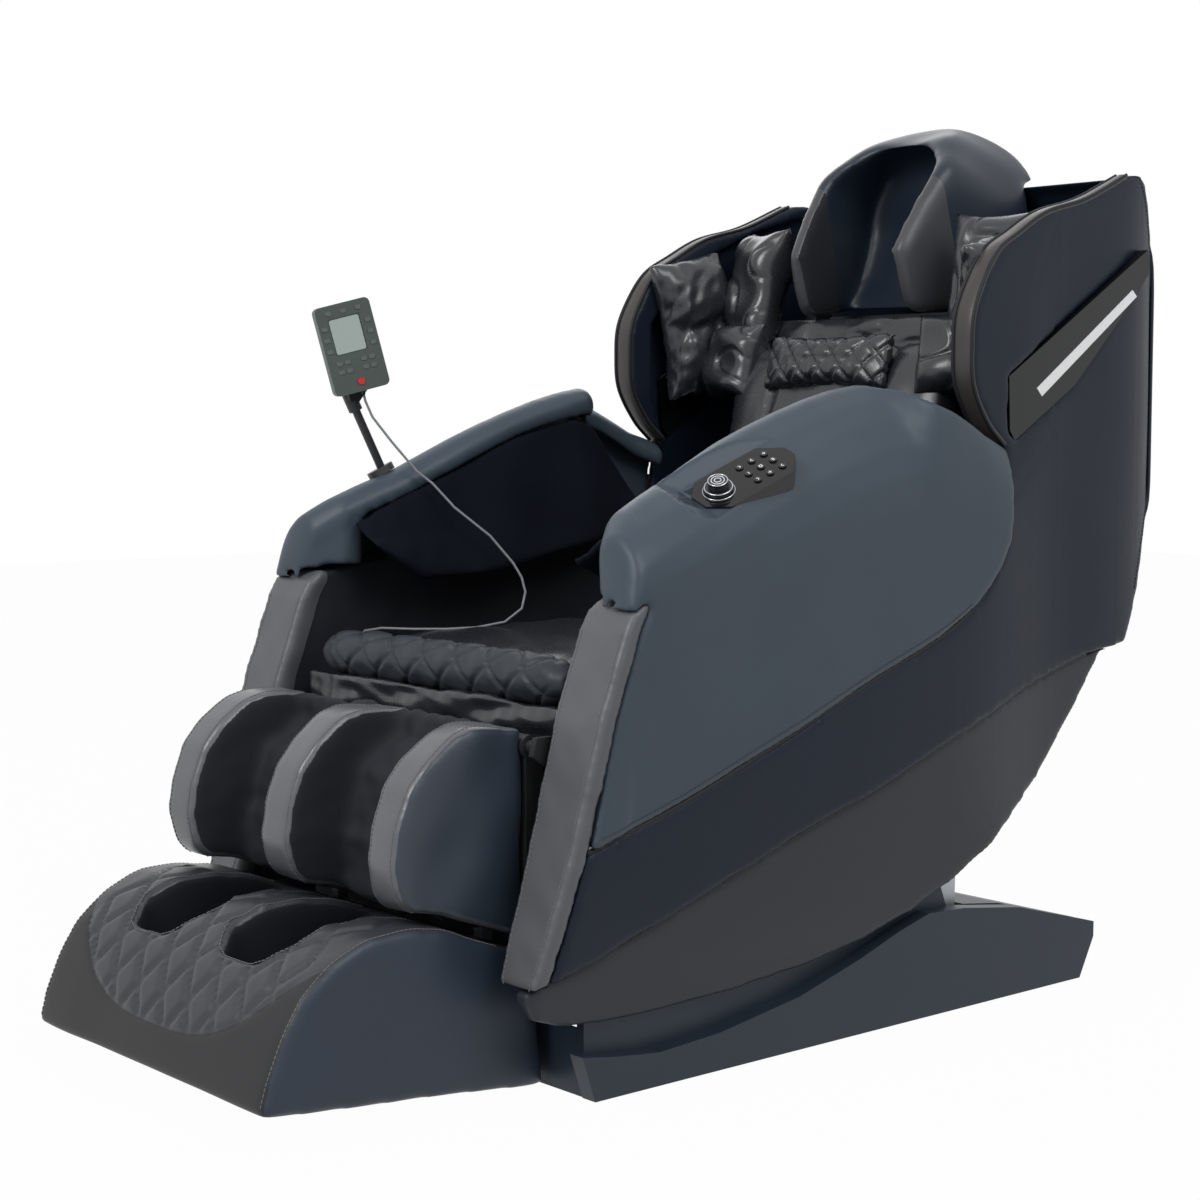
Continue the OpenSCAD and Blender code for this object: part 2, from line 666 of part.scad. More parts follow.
module massage_carriage() {
  color("gray") in_back() translate([0, track_y, carriage_z]) {
    translate([12.6 - track_x, 10, 0]) cube([2 * track_x - 25.2, 16, carriage_h]);
    for (side = [-1, 1]) on_side(side) for (z = [20, carriage_h - 20])
      translate([track_x - 12.6, 20, z]) rotate([0, 90, 0]) cylinder(h = 11, r = 11.4, $fn = 48);
    for (side = [-1, 1]) on_side(side) {
      translate([head_x - 34, 26, 20]) cube([68, 54, carriage_h - 40]);
      translate([head_x + 20, -5, carriage_h / 2 - 12]) cube([10, 50, 24]);
      translate([head_x - 30, -5, carriage_h / 2 - 12]) cube([10, 50, 24]);
      translate([head_x - 25, 1, carriage_h / 2]) rotate([0, 90, 0])
        cylinder(h = 50, r = head_pin_r, $fn = 48);
    }
  }
}

// rocking arm with two kneading rollers, turning on the carriage's pin
module kneading_head(side) {
  color("ivory") in_back() on_side(side)
    translate([head_x, track_y + 1, carriage_z + carriage_h / 2]) difference() {
      union() {
        difference() {
          translate([-19.5, -23, -52]) cube([39, 16, 104]);
          for (z = [-40, 40]) translate([-11, -40, z - 20]) cube([22, 40, 40]);
        }
        translate([-19.5, -8, -12]) cube([39, 14.5, 24]);
        for (z = [-40, 40]) translate([0, -17, z]) rotate([0, 90, 0]) {
          translate([0, 0, -10.5]) cylinder(h = 21, r = 16, $fn = 48);
          translate([0, 0, -19]) cylinder(h = 38, r = 4, $fn = 32);
        }
      }
      rotate([0, 90, 0]) translate([0, 0, -20]) cylinder(h = 40, r = head_pin_r + 0.06, $fn = 48);
    }
}

// ---- headrest ----

// hood with a slanted opening: a thick shell round the head, open to the front and below
module headrest_hood() {
  w = hood_w / 2;
  side_line = [[412, 1062], [418, 1045], [440, 985], [450, 968], [500, 968], [575, 985],
    [645, 1060], [668, 1120], [668, hood_z], [700, hood_z], [700, 1196], [690, 1222],
    [668, 1248], [640, 1262], [605, 1258], [555, 1236], [500, 1190], [448, 1122]];
  space_line = [[380, 900], [520, 940], [590, 1030], [622, 1110], [618, 1190],
    [596, 1222], [552, 1228], [380, 1140]];
  color("#2f3a47") for (x = [-70, 20]) translate([x, 700, hood_z + 4]) rotate([0, 90, 0])
    cylinder(h = 50, r = 3.7, $fn = 48);
  color("#2f3a47") difference() {
    intersection() {
      slab(-w, w) polygon(side_line);
      hood_arch(w, 163);
      translate([0, 0, 960]) linear_extrude(320) hood_plan(w);
    }
    intersection() {
      slab(-w, w) polygon(space_line);
      hood_arch(w - hood_t, 163 - hood_t);
      translate([0, 0, 890]) linear_extrude(400) hood_plan(w - hood_t);
    }
  }
}

module hood_arch(w, h) {
  translate([0, 780, 0]) rotate([90, 0, 0]) linear_extrude(420)
    polygon(concat([for (i = [0:24]) let (a = 7.5 * i) [w * cos(a), 1100 + h * sin(a)]],
      [[-w, 890], [w, 890]]));
}

module hood_plan(w) {
  polygon([[48 - w, 380], [w - 48, 380], [w - 5, 600], [w, 640], [w - 3, 680], [w - 15, 710],
    [15 - w, 710], [3 - w, 680], [-w, 640], [5 - w, 600]]);
}

// ---- controls ----

module on_panel() {
  translate(panel_pos) rotate(panel_tilt) children();
}

module control_panel() {
  color("black") on_panel() difference() {
    translate([-panel_w / 2, -panel_l / 2, -panel_h]) linear_extrude(panel_h)
      polygon([[0, 22], [22, 0], [panel_w - 22, 0], [panel_w, 22], [panel_w, panel_l - 26],
        [panel_w - 26, panel_l], [26, panel_l], [0, panel_l - 26]]);
    for (k = key_grid) translate([k[0], k[1], -3.5]) cylinder(h = 6, r = key_r + seat_gap, $fn = 40);
    translate([knob_off[0], knob_off[1], -6])
      cylinder(h = 10, r = knob_stem_r + knob_fit, $fn = 48);
  }
}

module control_knob() {
  color("dimgray") on_panel() translate([knob_off[0], knob_off[1], 0]) {
    translate([0, 0, -5]) cylinder(h = 6, r = knob_stem_r, $fn = 48);
    translate([0, 0, 0.4]) cylinder(h = 6, r = knob_r + 5, $fn = 64);
    translate([0, 0, 6.4]) cylinder(h = 10, r = knob_r, $fn = 64);
  }
}

module panel_key(number) {
  k = key_grid[number - 1];
  color("gainsboro") on_panel() translate([k[0], k[1], key_travel - 3.3])
    cylinder(h = 4.3, r = key_r, $fn = 40);
}

module in_remote() {
  translate(remote_pos) rotate([0, 0, remote_turn]) rotate([0, remote_roll, 0]) children();
}

module remote() {
  l = remote_l / 2;
  color("#2b2d2e") in_remote() difference() {
    rotate([90, 0, 0]) translate([0, 0, -remote_t / 2]) linear_extrude(remote_t)
      offset(r = 8, $fn = 32) square([remote_w - 16, remote_l - 16], center = true);
    translate([-25, -remote_t / 2 - 1, -8]) cube([46, 2, 52]);
    translate([0, 2 - remote_t / 2, 14 - l]) rotate([90, 0, 0]) cylinder(h = 5, r = 5.3, $fn = 40);
  }
}

module remote_power_key() {
  color("red") in_remote() translate([0, 1 - remote_t / 2, 14 - remote_l / 2])
    rotate([90, 0, 0]) cylinder(h = 2.6, r = 5, $fn = 40);
}

// clip plate on the back of the remote, with a sleeve that turns on the pole
module remote_cradle() {
  d = (pole_top - pole_foot) / norm(pole_top - pole_foot);
  color("dimgray") difference() {
    union() {
      rod(pole_top - d * 16, pole_top + d * 10, pole_r + 4);
      hull() {
        rod(pole_top - d * 8, pole_top + d * 10, pole_r + 2);
        in_remote() translate([-18, remote_t / 2 + 0.2, -62]) cube([30, 5, 36]);
      }
    }
    rod(pole_top - d * 20, pole_top + d * 6.3, pole_r + 0.06);
  }
}

module remote_holder() {
  d = (pole_top - pole_foot) / norm(pole_top - pole_foot);
  color("dimgray") {
    rod(pole_foot, pole_top + d * 6, pole_r);
    on_holder_foot(0) cylinder(h = 10, r = holder_r, $fn = 48);
  }
}

module on_holder_foot(z) {
  translate([pole_foot[0], pole_foot[1], pole_foot[2] - 4.5]) rotate([24, -16, 0])
    translate([0, 0, z]) children();
}

// the cord, swept along its own points with rings at a steady step
function path_at(s, i = 0) =
  let (d = norm(cord_pts[i + 1] - cord_pts[i]))
  s <= d || i == len(cord_pts) - 2 ? cord_pts[i] + (cord_pts[i + 1] - cord_pts[i]) * s / d
    : path_at(s - d, i + 1);
function path_len(i = 0) = i == len(cord_pts) - 1 ? 0
  : norm(cord_pts[i + 1] - cord_pts[i]) + path_len(i + 1);

module remote_cord() {
  length = path_len();
  steps = ceil(length / cord_ring_gap);
  function ring(k) =
    let (s = length * k / steps, e = length / steps / 2,
      t = path_at(min(length, s + e)) - path_at(max(0, s - e)), d = t / norm(t),
      u0 = cross(d, [1, 0, 0]), u = u0 / norm(u0), v = cross(d, u))
    [for (j = [0:cord_sides - 1]) let (a = 360 * j / cord_sides)
      path_at(s) + cord_r * (u * cos(a) + v * sin(a))];
  color("gray") skin([for (k = [0:steps]) ring(k)]);
}

// ---- leg rest ----

module calf_frame() {
  w = calf_w / 2;
  color("dimgray") difference() {
    union() {
      translate([-w, calf_frame_y, 190]) cube([calf_w, calf_frame_d, 240]);
      translate([-w, hinge_y, hinge_z]) rotate([0, 90, 0]) cylinder(h = calf_w, r = hinge_tube_r, $fn = 64);
    }
    for (side = [-1, 1]) on_side(side) {
      translate([w - 30, hinge_y, hinge_z]) rotate([0, 90, 0])
        cylinder(h = 40, r = hinge_pin_r + 0.1, $fn = 48);
      translate([150 - slide_fit, calf_frame_y + 5, 150])
        cube([slide_bar + 2 * slide_fit, slide_bar + 2 * slide_fit, 250]);
    }
    translate([-120, calf_frame_y + 6, 180]) cube([240, 40, 200]);
  }
}

module calf_cushion() {
  w = calf_w / 2;
  inner_pts = [[-650, 150], [-650, 480], [-420, 480], [-420, 449 - calf_channel_d * 0.35],
    [-481, 448 - calf_channel_d * 0.8], [-530 + calf_channel_d * 0.4, 400 - calf_channel_d],
    [-595 + calf_channel_d, 300], [-590 + calf_channel_d, 150]];
  color("#2c3138") difference() {
    slab(-w, w) polygon(calf_pts);
    translate([-w - 1, hinge_y, hinge_z]) rotate([0, 90, 0])
      cylinder(h = calf_w + 2, r = hinge_tube_r + seat_gap, $fn = 64);
    for (side = [-1, 1]) on_side(side)
      slab(calf_mid_w / 2, calf_mid_w / 2 + calf_channel_w) polygon(inner_pts);
  }
}

module foot_rest() {
  w = foot_w / 2;
  color("#33353a") difference() {
    slab(-w, w) polygon(foot_pts);
    for (side = [-1, 1]) on_side(side) translate([38, 0, 78]) linear_extrude(200)
      polygon([[30, -705], [foot_well_w - 30, -705], [foot_well_w, -670], [foot_well_w, -470],
        [0, -470], [0, -670]]);
    for (side = [-1, 1]) on_side(side)
      translate([150 - 2 * slide_fit, calf_frame_y + 5 - slide_fit, 80])
        cube([slide_bar + 4 * slide_fit, slide_bar + 4 * slide_fit, 200]);
  }
}

module foot_slide_bars() {
  color("silver") for (side = [-1, 1]) on_side(side)
    translate([150, calf_frame_y + 5 + slide_fit, 80]) cube([slide_bar, slide_bar, 310]);
}

base_frame();
guide_rails();
base_cover(1);  // base_cover_left
base_cover(-1);  // base_cover_right
base_tail_cover();
base_front_cover();
floor_glides();
mains_inlet();
mains_switch();
seat_frame();
guide_shoes();
lower_shell(1);  // lower_shell_left
lower_shell(-1);  // lower_shell_right
belly_panel();
arm_panel(1);  // arm_panel_left
arm_panel(-1);  // arm_panel_right
arm_box(1);  // arm_box_left
arm_box(-1);  // arm_box_right
arm_leaf(1);  // arm_leaf_left
arm_leaf(-1);  // arm_leaf_right
side_shell(1);  // side_shell_left
side_shell(-1);  // side_shell_right
back_shell();
back_cushion();
seat_cushion();
seat_roll();
front_apron();
neck_pad();
shoulder_airbag(1);  // shoulder_airbag_left
shoulder_airbag(-1);  // shoulder_airbag_right
wing_housing(1);  // wing_housing_left
wing_housing(-1);  // wing_housing_right
light_bars();
massage_track();
massage_carriage();
kneading_head(1);  // kneading_head_left
kneading_head(-1);  // kneading_head_right
headrest_hood();
control_panel();
control_knob();
panel_key(1);  // panel_key_1
panel_key(2);  // panel_key_2
panel_key(3);  // panel_key_3
panel_key(4);  // panel_key_4
panel_key(5);  // panel_key_5
panel_key(6);  // panel_key_6
panel_key(7);  // panel_key_7
panel_key(8);  // panel_key_8
panel_key(9);  // panel_key_9
remote_holder();
remote_cradle();
remote();
remote_power_key();
remote_cord();
calf_frame();
calf_cushion();
foot_rest();
foot_slide_bars();
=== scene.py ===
import math

import bmesh
import bpy
import numpy as np
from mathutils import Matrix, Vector
from mathutils.bvhtree import BVHTree


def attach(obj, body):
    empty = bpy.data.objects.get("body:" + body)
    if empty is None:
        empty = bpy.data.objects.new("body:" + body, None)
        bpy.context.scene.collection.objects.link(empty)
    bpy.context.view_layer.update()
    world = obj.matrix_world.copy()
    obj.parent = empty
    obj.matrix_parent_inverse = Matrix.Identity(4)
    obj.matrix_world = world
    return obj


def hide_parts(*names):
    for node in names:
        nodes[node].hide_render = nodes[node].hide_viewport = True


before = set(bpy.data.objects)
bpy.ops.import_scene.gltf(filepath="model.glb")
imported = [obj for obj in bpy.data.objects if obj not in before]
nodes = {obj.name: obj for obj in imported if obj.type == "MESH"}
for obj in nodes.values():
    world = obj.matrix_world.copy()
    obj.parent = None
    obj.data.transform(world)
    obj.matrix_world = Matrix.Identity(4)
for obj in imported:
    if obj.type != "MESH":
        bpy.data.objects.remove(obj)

scene = bpy.context.scene
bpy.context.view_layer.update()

# ---- Viewpoint and studio ----
# A long-lens camera at the height of the arms, looking down slightly from the front left, over
# a plain pale floor in a soft white room with large lamps in front, to the side and behind.
camera = bpy.data.objects.new("viewpoint", bpy.data.cameras.new("viewpoint"))
scene.collection.objects.link(camera)
camera.location = (2.3819, -2.0990, 0.828)
camera.rotation_euler = (math.radians(90 - 4.76), 0, math.radians(49.44))
camera.data.lens = 68.46
camera.data.sensor_width = 36
camera.data.clip_end = 60
scene.camera = camera
scene.view_settings.view_transform = "Standard"


class Wire:
    """A socket of a node tree, with sums written as plain expressions."""

    def __init__(self, tree, socket):
        self.tree, self.socket = tree, socket

    def node(self, kind, settings=None, inputs=None, out=0):
        made = self.tree.nodes.new(kind)
        for key, value in (settings or {}).items():
            if key == "stops":
                for stop, (place, colour) in zip(made.color_ramp.elements, value):
                    stop.position, stop.color = place, colour
            else:
                setattr(made, key, value)
        for key, value in (inputs or {}).items():
            if isinstance(value, Wire):
                self.tree.links.new(value.socket, made.inputs[key])
            else:
                made.inputs[key].default_value = value
        return Wire(self.tree, made.outputs[out])

    def sum(self, how, a, b=0.0):
        return self.node("ShaderNodeMath", {"operation": how}, {0: a, 1: b})

    def __add__(self, other):
        return self.sum("ADD", self, other)

    def __radd__(self, other):
        return self.sum("ADD", other, self)

    def __sub__(self, other):
        return self.sum("SUBTRACT", self, other)

    def __rsub__(self, other):
        return self.sum("SUBTRACT", other, self)

    def __mul__(self, other):
        return self.sum("MULTIPLY", self, other)

    def __rmul__(self, other):
        return self.sum("MULTIPLY", other, self)

    def blend(self, low, high):
        """low where this is 0 and high where it is 1, as colours."""
        return self.node("ShaderNodeMix", {"data_type": "RGBA"}, {0: self, 6: low, 7: high}, 2)

    def noise(self, place, scale, detail=3.0, rough=0.5):
        return self.node("ShaderNodeTexNoise", None,
                         {"Vector": place, "Scale": scale, "Detail": detail, "Roughness": rough})


def looked_at(start):
    """1 for what is seen straight on, in a mirror or through glass, and 0 for what only lights."""
    seen = start.node("ShaderNodeLightPath", None, None, "Is Camera Ray")
    mirrored, passed = (Wire(start.tree, seen.socket.node.outputs[kind])
                        for kind in ("Is Glossy Ray", "Is Transmission Ray"))
    return seen + mirrored + passed


room_light = 0.42
room = bpy.data.worlds.new("white room")
room.use_nodes = True
scene.world = room
back = room.node_tree.nodes["Background"]
start = Wire(room.node_tree, back.outputs[0])
shown = start.sum("MINIMUM", looked_at(start), 1.0)
back.inputs["Color"].default_value = (1, 1, 1, 1)
room.node_tree.links.new((room_light + (1 - room_light) * shown).socket, back.inputs["Strength"])

lamps_aim = Vector((0, 0, 0.6))
for name, place, power, size in (("front soft box", (0.4, -3.6, 3.2), 100, 1.8),
                                 ("side soft box", (3.0, -0.2, 3.6), 70, 2.2),
                                 ("rear fill lamp", (-2.8, 2.4, 2.6), 24, 2.4)):
    lamp = bpy.data.objects.new(name, bpy.data.lights.new(name, "AREA"))
    lamp.data.energy, lamp.data.size = power, size
    lamp.location = place
    lamp.rotation_euler = (lamps_aim - Vector(place)).to_track_quat("-Z", "Y").to_euler()
    scene.collection.objects.link(lamp)


def linear(*rgb):
    """A colour given as 0 to 255 numbers of a screen, as the renderer's own."""
    return tuple((c / 255 / 12.92 if c < 10.3 else ((c / 255 + 0.055) / 1.055) ** 2.4)
                 for c in rgb) + (1.0,)


floor_reach = 9
floor_glow = 0.975
floor_mesh = bpy.data.meshes.new("studio floor")
floor_mesh.from_pydata([(x * floor_reach, y * floor_reach, 0)
                        for x, y in ((-1, -1), (1, -1), (1, 1), (-1, 1))], [], [(0, 1, 2, 3)])
floor = bpy.data.objects.new("studio floor", floor_mesh)
scene.collection.objects.link(floor)
paint = bpy.data.materials.new("pale floor paint")
paint.use_nodes = True
shader = paint.node_tree.nodes["Principled BSDF"]
shader.inputs["Roughness"].default_value = 0.9
shader.inputs["Specular IOR Level"].default_value = 0.1
grounds = Wire(paint.node_tree, shader.outputs[0])
where = grounds.node("ShaderNodeTexCoord", None, None, "Object")
paint.node_tree.links.new(
    grounds.noise(where, 3.0).blend((0.52, 0.52, 0.52, 1), (0.56, 0.56, 0.56, 1)).socket,
    shader.inputs["Base Color"])
glow = grounds.node("ShaderNodeEmission", None, {"Color": (1, 1, 1, 1), "Strength": 1.0})
lift = looked_at(grounds) * floor_glow
both = grounds.node("ShaderNodeMixShader", None, {0: lift, 1: grounds, 2: glow})
paint.node_tree.links.new(both.socket, paint.node_tree.nodes["Material Output"].inputs["Surface"])
floor_mesh.materials.append(paint)

# ---- Remote lead ----
# A thin flexible grey lead from the foot of the remote, hanging over the inside of the right
# arm and along the seat into the gap beside the seat cushion. Extruded soft plastic.
lead_radius = 0.0018
lead_route = [(-.284, -.2546, .849), (-.284, -.252, .84), (-.280, -.243, .818),
              (-.266, -.220, .783), (-.250, -.188, .741), (-.238, -.170, .724),
              (-.217, -.147, .690), (-.190, -.104, .649), (-.170, -.078, .610),
              (-.161, -.070, .590), (-.156, -.067, .569), (-.153, -.076, .546),
              (-.157, -.104, .528), (-.168, -.146, .522), (-.184, -.184, .521),
              (-.216, -.222, .521), (-.256, -.246, .521), (-.284, -.256, .516),
              (-.293, -.260, .504), (-.2955, -.262, .488), (-.2996, -.262, .474)]


def smooth_line(points, gap, closed=False):
    """A smooth curve through the points, as points a set gap apart."""
    p = [np.array(q, float) for q in points]
    out = []
    n = len(p)
    for i in range(n if closed else n - 1):
        a = p[(i - 1) % n] if closed or i else 2 * p[0] - p[1]
        b, c = p[i], p[(i + 1) % n]
        d = p[(i + 2) % n] if closed or i + 2 < n else 2 * c - b
        for t in np.linspace(0, 1, 17)[:-1]:
            out.append(0.5 * (2 * b + (c - a) * t + (2 * a - 5 * b + 4 * c - d) * t * t
                              + (3 * b - a - 3 * c + d) * t ** 3))
    out.append(p[0] if closed else p[-1])
    out = np.array(out)
    along = np.concatenate([[0], np.cumsum(np.linalg.norm(np.diff(out, axis=0), axis=1))])
    stops = np.linspace(0, along[-1], max(3, int(round(along[-1] / gap)) + 1))
    return np.stack([np.interp(stops, along, out[:, k]) for k in range(out.shape[1])], axis=1)


def add(name, verts, faces, finish, smooth=True):
    """A new mesh piece with its finish."""
    mesh = bpy.data.meshes.new(name)
    mesh.from_pydata([tuple(v) for v in verts], [], faces)
    if smooth:
        mesh.polygons.foreach_set("use_smooth", [True] * len(mesh.polygons))
    mesh.update()
    made = bpy.data.objects.new(name, mesh)
    scene.collection.objects.link(made)
    mesh.materials.append(finish)
    return made


def tube(name, line, radius, finish, sides=8):
    """A closed round tube along a line of points; radius may change along it."""
    line = np.array(line, float)
    ahead = np.gradient(line, axis=0)
    ahead /= np.linalg.norm(ahead, axis=1)[:, None]
    up = np.cross(ahead[0], [1, 0, 0] if abs(ahead[0][0]) < 0.9 else [0, 1, 0])
    radius = np.broadcast_to(radius, len(line))
    verts, faces = [], []
    for i, (q, d) in enumerate(zip(line, ahead)):
        up = up - d * np.dot(up, d)
        up /= np.linalg.norm(up)
        side = np.cross(d, up)
        verts += [q + radius[i] * (up * math.cos(a) + side * math.sin(a))
                  for a in (2 * math.pi * k / sides for k in range(sides))]
        if i:
            m = (i - 1) * sides
            faces += [(m + k, m + (k + 1) % sides, m + sides + (k + 1) % sides, m + sides + k)
                      for k in range(sides)]
    last = (len(line) - 1) * sides
    faces += [tuple(range(sides))[::-1], tuple(range(last, last + sides))]
    return add(name, verts, faces, finish)


def finish_of(name, colour, roughness, spec=0.5, metal=0.0, coat=0.0, build=None):
    """A material: its constants are set here and build adds what changes over the surface."""
    made = bpy.data.materials.new(name)
    made.use_nodes = True
    made.diffuse_color = colour
    bsdf = made.node_tree.nodes["Principled BSDF"]
    bsdf.inputs["Base Color"].default_value = colour
    bsdf.inputs["Roughness"].default_value = roughness
    bsdf.inputs["Specular IOR Level"].default_value = spec
    bsdf.inputs["Metallic"].default_value = metal
    bsdf.inputs["Coat Weight"].default_value = coat
    bsdf.inputs["Coat Roughness"].default_value = 0.08
    base = Wire(made.node_tree, bsdf.outputs[0])
    place = base.node("ShaderNodeTexCoord", None, None, "Object")
    for key, value in build(base, place, colour).items():
        made.node_tree.links.new(value.socket, bsdf.inputs[key])
    return made


def tint(colour, k):
    """The colour made darker or lighter by a factor."""
    return tuple(min(1, c * k) for c in colour[:3]) + (1.0,)


def moulded(strength=0.06, spread=0.08, rough=0.4):
    """Moulded plastic: a very fine sparkle in the surface and faint handling marks."""
    def build(base, place, colour):
        grain = base.noise(place, 900, 2)
        cloud = base.noise(place, 9, 4)
        bump = base.node("ShaderNodeBump", None,
                         {"Strength": strength, "Distance": 0.0004, "Height": grain})
        return {"Base Color": cloud.blend(tint(colour, 1 - spread), tint(colour, 1 + spread)),
                "Roughness": rough + 0.12 * (cloud - 0.5), "Normal": bump}
    return build


def plastic(name, rgb, rough, strength, spread, spec=0.5, **more):
    """A moulded finish of one colour."""
    return finish_of(name, linear(*rgb), rough, spec,
                     build=moulded(strength, spread, rough), **more)


cord_skin = plastic("grey lead sleeve", (120, 123, 128), 0.5, 0.05, 0.06)
lead = tube("remote_lead", lead_route, lead_radius, cord_skin, 10)
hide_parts("remote_cord")
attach(lead, "capsule")

# ---- Side upholstery: arm panels, side shells and lower shells ----
# Large cut panels of coated leather over foam on moulded shells. Each edge is turned in and
# sewn to its neighbour, so the panels meet in narrow rolled seams with a thread line beside.
def hide(name, rgb, spec, wrinkle=0.35, rough=0.44, patches=()):
    """Coated leather: pebbled grain, fine creases, slow colour change and worn sheen. Each
    patch is a painted attribute, giving its colour and roughness where it is above 0."""
    def faded(cloud, dye):
        return cloud.blend(tint(dye, 0.84), tint(dye, 1.16))

    def build(base, place, colour):
        pebble = base.node("ShaderNodeTexVoronoi", {"feature": "SMOOTH_F1"},
                           {"Vector": place, "Scale": 520, "Smoothness": 0.7}, "Distance")
        fine = base.noise(place, 1300, 2)
        crease = base.noise(place, 55, 5, 0.62)
        cloud = base.noise(place, 7, 4)
        height = 0.55 * pebble + 0.25 * fine + wrinkle * crease
        bump = base.node("ShaderNodeBump", None,
                         {"Strength": 0.22, "Distance": 0.0007, "Height": height})
        dye = faded(cloud, colour)
        sheen = rough + 0.14 * (cloud - 0.5) + 0.10 * (pebble - 0.5)
        for painted, other, dull in patches:
            mark = base.node("ShaderNodeAttribute", {"attribute_name": painted}, None, "Fac")
            mask = base.node("ShaderNodeMath", {"operation": "MULTIPLY_ADD", "use_clamp": True},
                             {0: mark, 1: 2.5, 2: 0.5})
            dye = mask.blend(dye, faded(cloud, other))
            sheen = sheen + mask * (dull - sheen)
        return {"Base Color": dye, "Roughness": sheen, "Normal": bump}
    return finish_of(name, linear(*rgb), rough, spec, build=build)


slate_leather = hide("slate leather", (56, 67, 78), 0.3)
navy_leather = hide("navy stripe leather", (19, 27, 41), 0.2, 0.3)
grey_leather = hide("charcoal leather", (44, 48, 54), 0.26)
dark_leather = hide("black leather", (38, 40, 45), 0.6, 0.8, 0.28)
seam_leather = hide("seam welt leather", (22, 25, 31), 0.25, 0.2, 0.5)


def soft_copy(name, finish, voxel, rounds, cad, body="capsule", filling=None,
              form=None):
    """One closed skin of even small faces in the place of a CAD solid, its edges rounded.
    Where form is given, that solid lends its shape."""
    work = bmesh.new()
    work.from_mesh(nodes[form or cad].data)
    bmesh.ops.remove_doubles(work, verts=work.verts, dist=1e-5)
    if filling:
        filling(work)
    mesh = bpy.data.meshes.new(name)
    work.to_mesh(mesh)
    work.free()
    mesh.materials.clear()
    mesh.materials.append(finish)
    made = bpy.data.objects.new(name, mesh)
    scene.collection.objects.link(made)
    skin = made.modifiers.new("even skin", "REMESH")
    skin.mode, skin.voxel_size, skin.use_smooth_shade = "VOXEL", voxel, True
    soften = made.modifiers.new("rounded edges", "SMOOTH")
    soften.factor, soften.iterations = 0.5, rounds
    bake(made)
    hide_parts(cad)
    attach(made, body)
    return made


def bake(made):
    """Turns what the modifiers give into the object's own mesh."""
    seen_by = bpy.context.evaluated_depsgraph_get()
    fresh = bpy.data.meshes.new_from_object(made.evaluated_get(seen_by))
    old = made.data
    kept = list(old.materials)
    made.modifiers.clear()
    made.data = fresh
    if not len(fresh.materials):
        for finish in kept:
            fresh.materials.append(finish)
    fresh.polygons.foreach_set("use_smooth", [True] * len(fresh.polygons))
    bpy.data.meshes.remove(old)


def read(made, what="co"):
    """A piece's points, or what else its mesh holds for each of them, as rows of three."""
    out = np.empty(len(made.data.vertices) * 3)
    made.data.vertices.foreach_get(what, out)
    return out.reshape(-1, 3)


def skin_of(made):
    """A piece's points, and which way is out at each."""
    return read(made), read(made, "normal")


def write(made, points):
    """Moves a piece's points."""
    made.data.vertices.foreach_set("co", np.asarray(points, float).ravel())
    made.data.update()


def ripple(points, size, seed):
    """A smooth bumpy number from about -1 to 1, with bumps of that size."""
    draw = np.random.default_rng(seed)
    total = np.zeros(len(points))
    for _ in range(7):
        way = draw.normal(size=3)
        way *= draw.uniform(0.7, 1.4) / np.linalg.norm(way)
        total += np.sin(points @ way * (2 * math.pi / size) + draw.uniform(0, 6.28))
    return total / 3.2


def soft_table(pairs, spread=42):
    """A size that changes along the chair, from its pairs in millimetres, without corners."""
    xs = np.arange(-700, 1400, 2.0)
    ys = np.interp(xs, [p[0] for p in pairs], [p[1] for p in pairs])
    bell = np.exp(-0.5 * (np.arange(-120, 121) * 2 / spread) ** 2)
    return xs, np.convolve(np.pad(ys, 120, "edge"), bell / bell.sum(), "valid")


plan_pairs = [(-500, 391), (100, 391), (250, 388), (350, 378), (420, 366), (480, 358), (620, 356),
              (680, 350), (730, 335), (765, 310), (790, 276)]
height_pairs = [(80, 345), (130, 362), (200, 374), (300, 384), (460, 391), (600, 390), (700, 377),
                (790, 360), (850, 366), (1000, 366), (1180, 352)]


def half_width(y, z, soft=True):
    """How far the flank stands from the middle at a place in the side view, in metres:
    the lesser of its plan and its height tables, with a soft crossing or with a sharp one."""
    if soft:
        a = np.interp(y * 1000, *soft_table(plan_pairs))
        b = np.interp(z * 1000, *soft_table(height_pairs))
        return -0.003 * np.log(np.exp(-a / 3) + np.exp(-b / 3))
    a = np.interp(y * 1000, *zip(*plan_pairs))
    b = np.interp(z * 1000, *zip(*height_pairs))
    return np.minimum(a, b) / 1000


def fair_flank(made):
    """Takes the facets out of a flank: its wall follows the smooth half width instead."""
    p = read(made)
    shift = half_width(p[:, 1], p[:, 2]) - half_width(p[:, 1], p[:, 2], False)
    outer = np.clip((np.abs(p[:, 0]) - 0.31) / 0.02, 0, 1)
    p[:, 0] += np.sign(p[:, 0]) * shift * outer
    write(made, p)


def fullness(made, depth, size, seed):
    """The slow swell and dip of foam under the leather."""
    p, n = skin_of(made)
    write(made, p + n * (depth * ripple(p, size, seed))[:, None])


def outline(points_mm):
    """Points in millimetres, of the side view as y and z, in metres."""
    return np.array(points_mm, float) / 1000


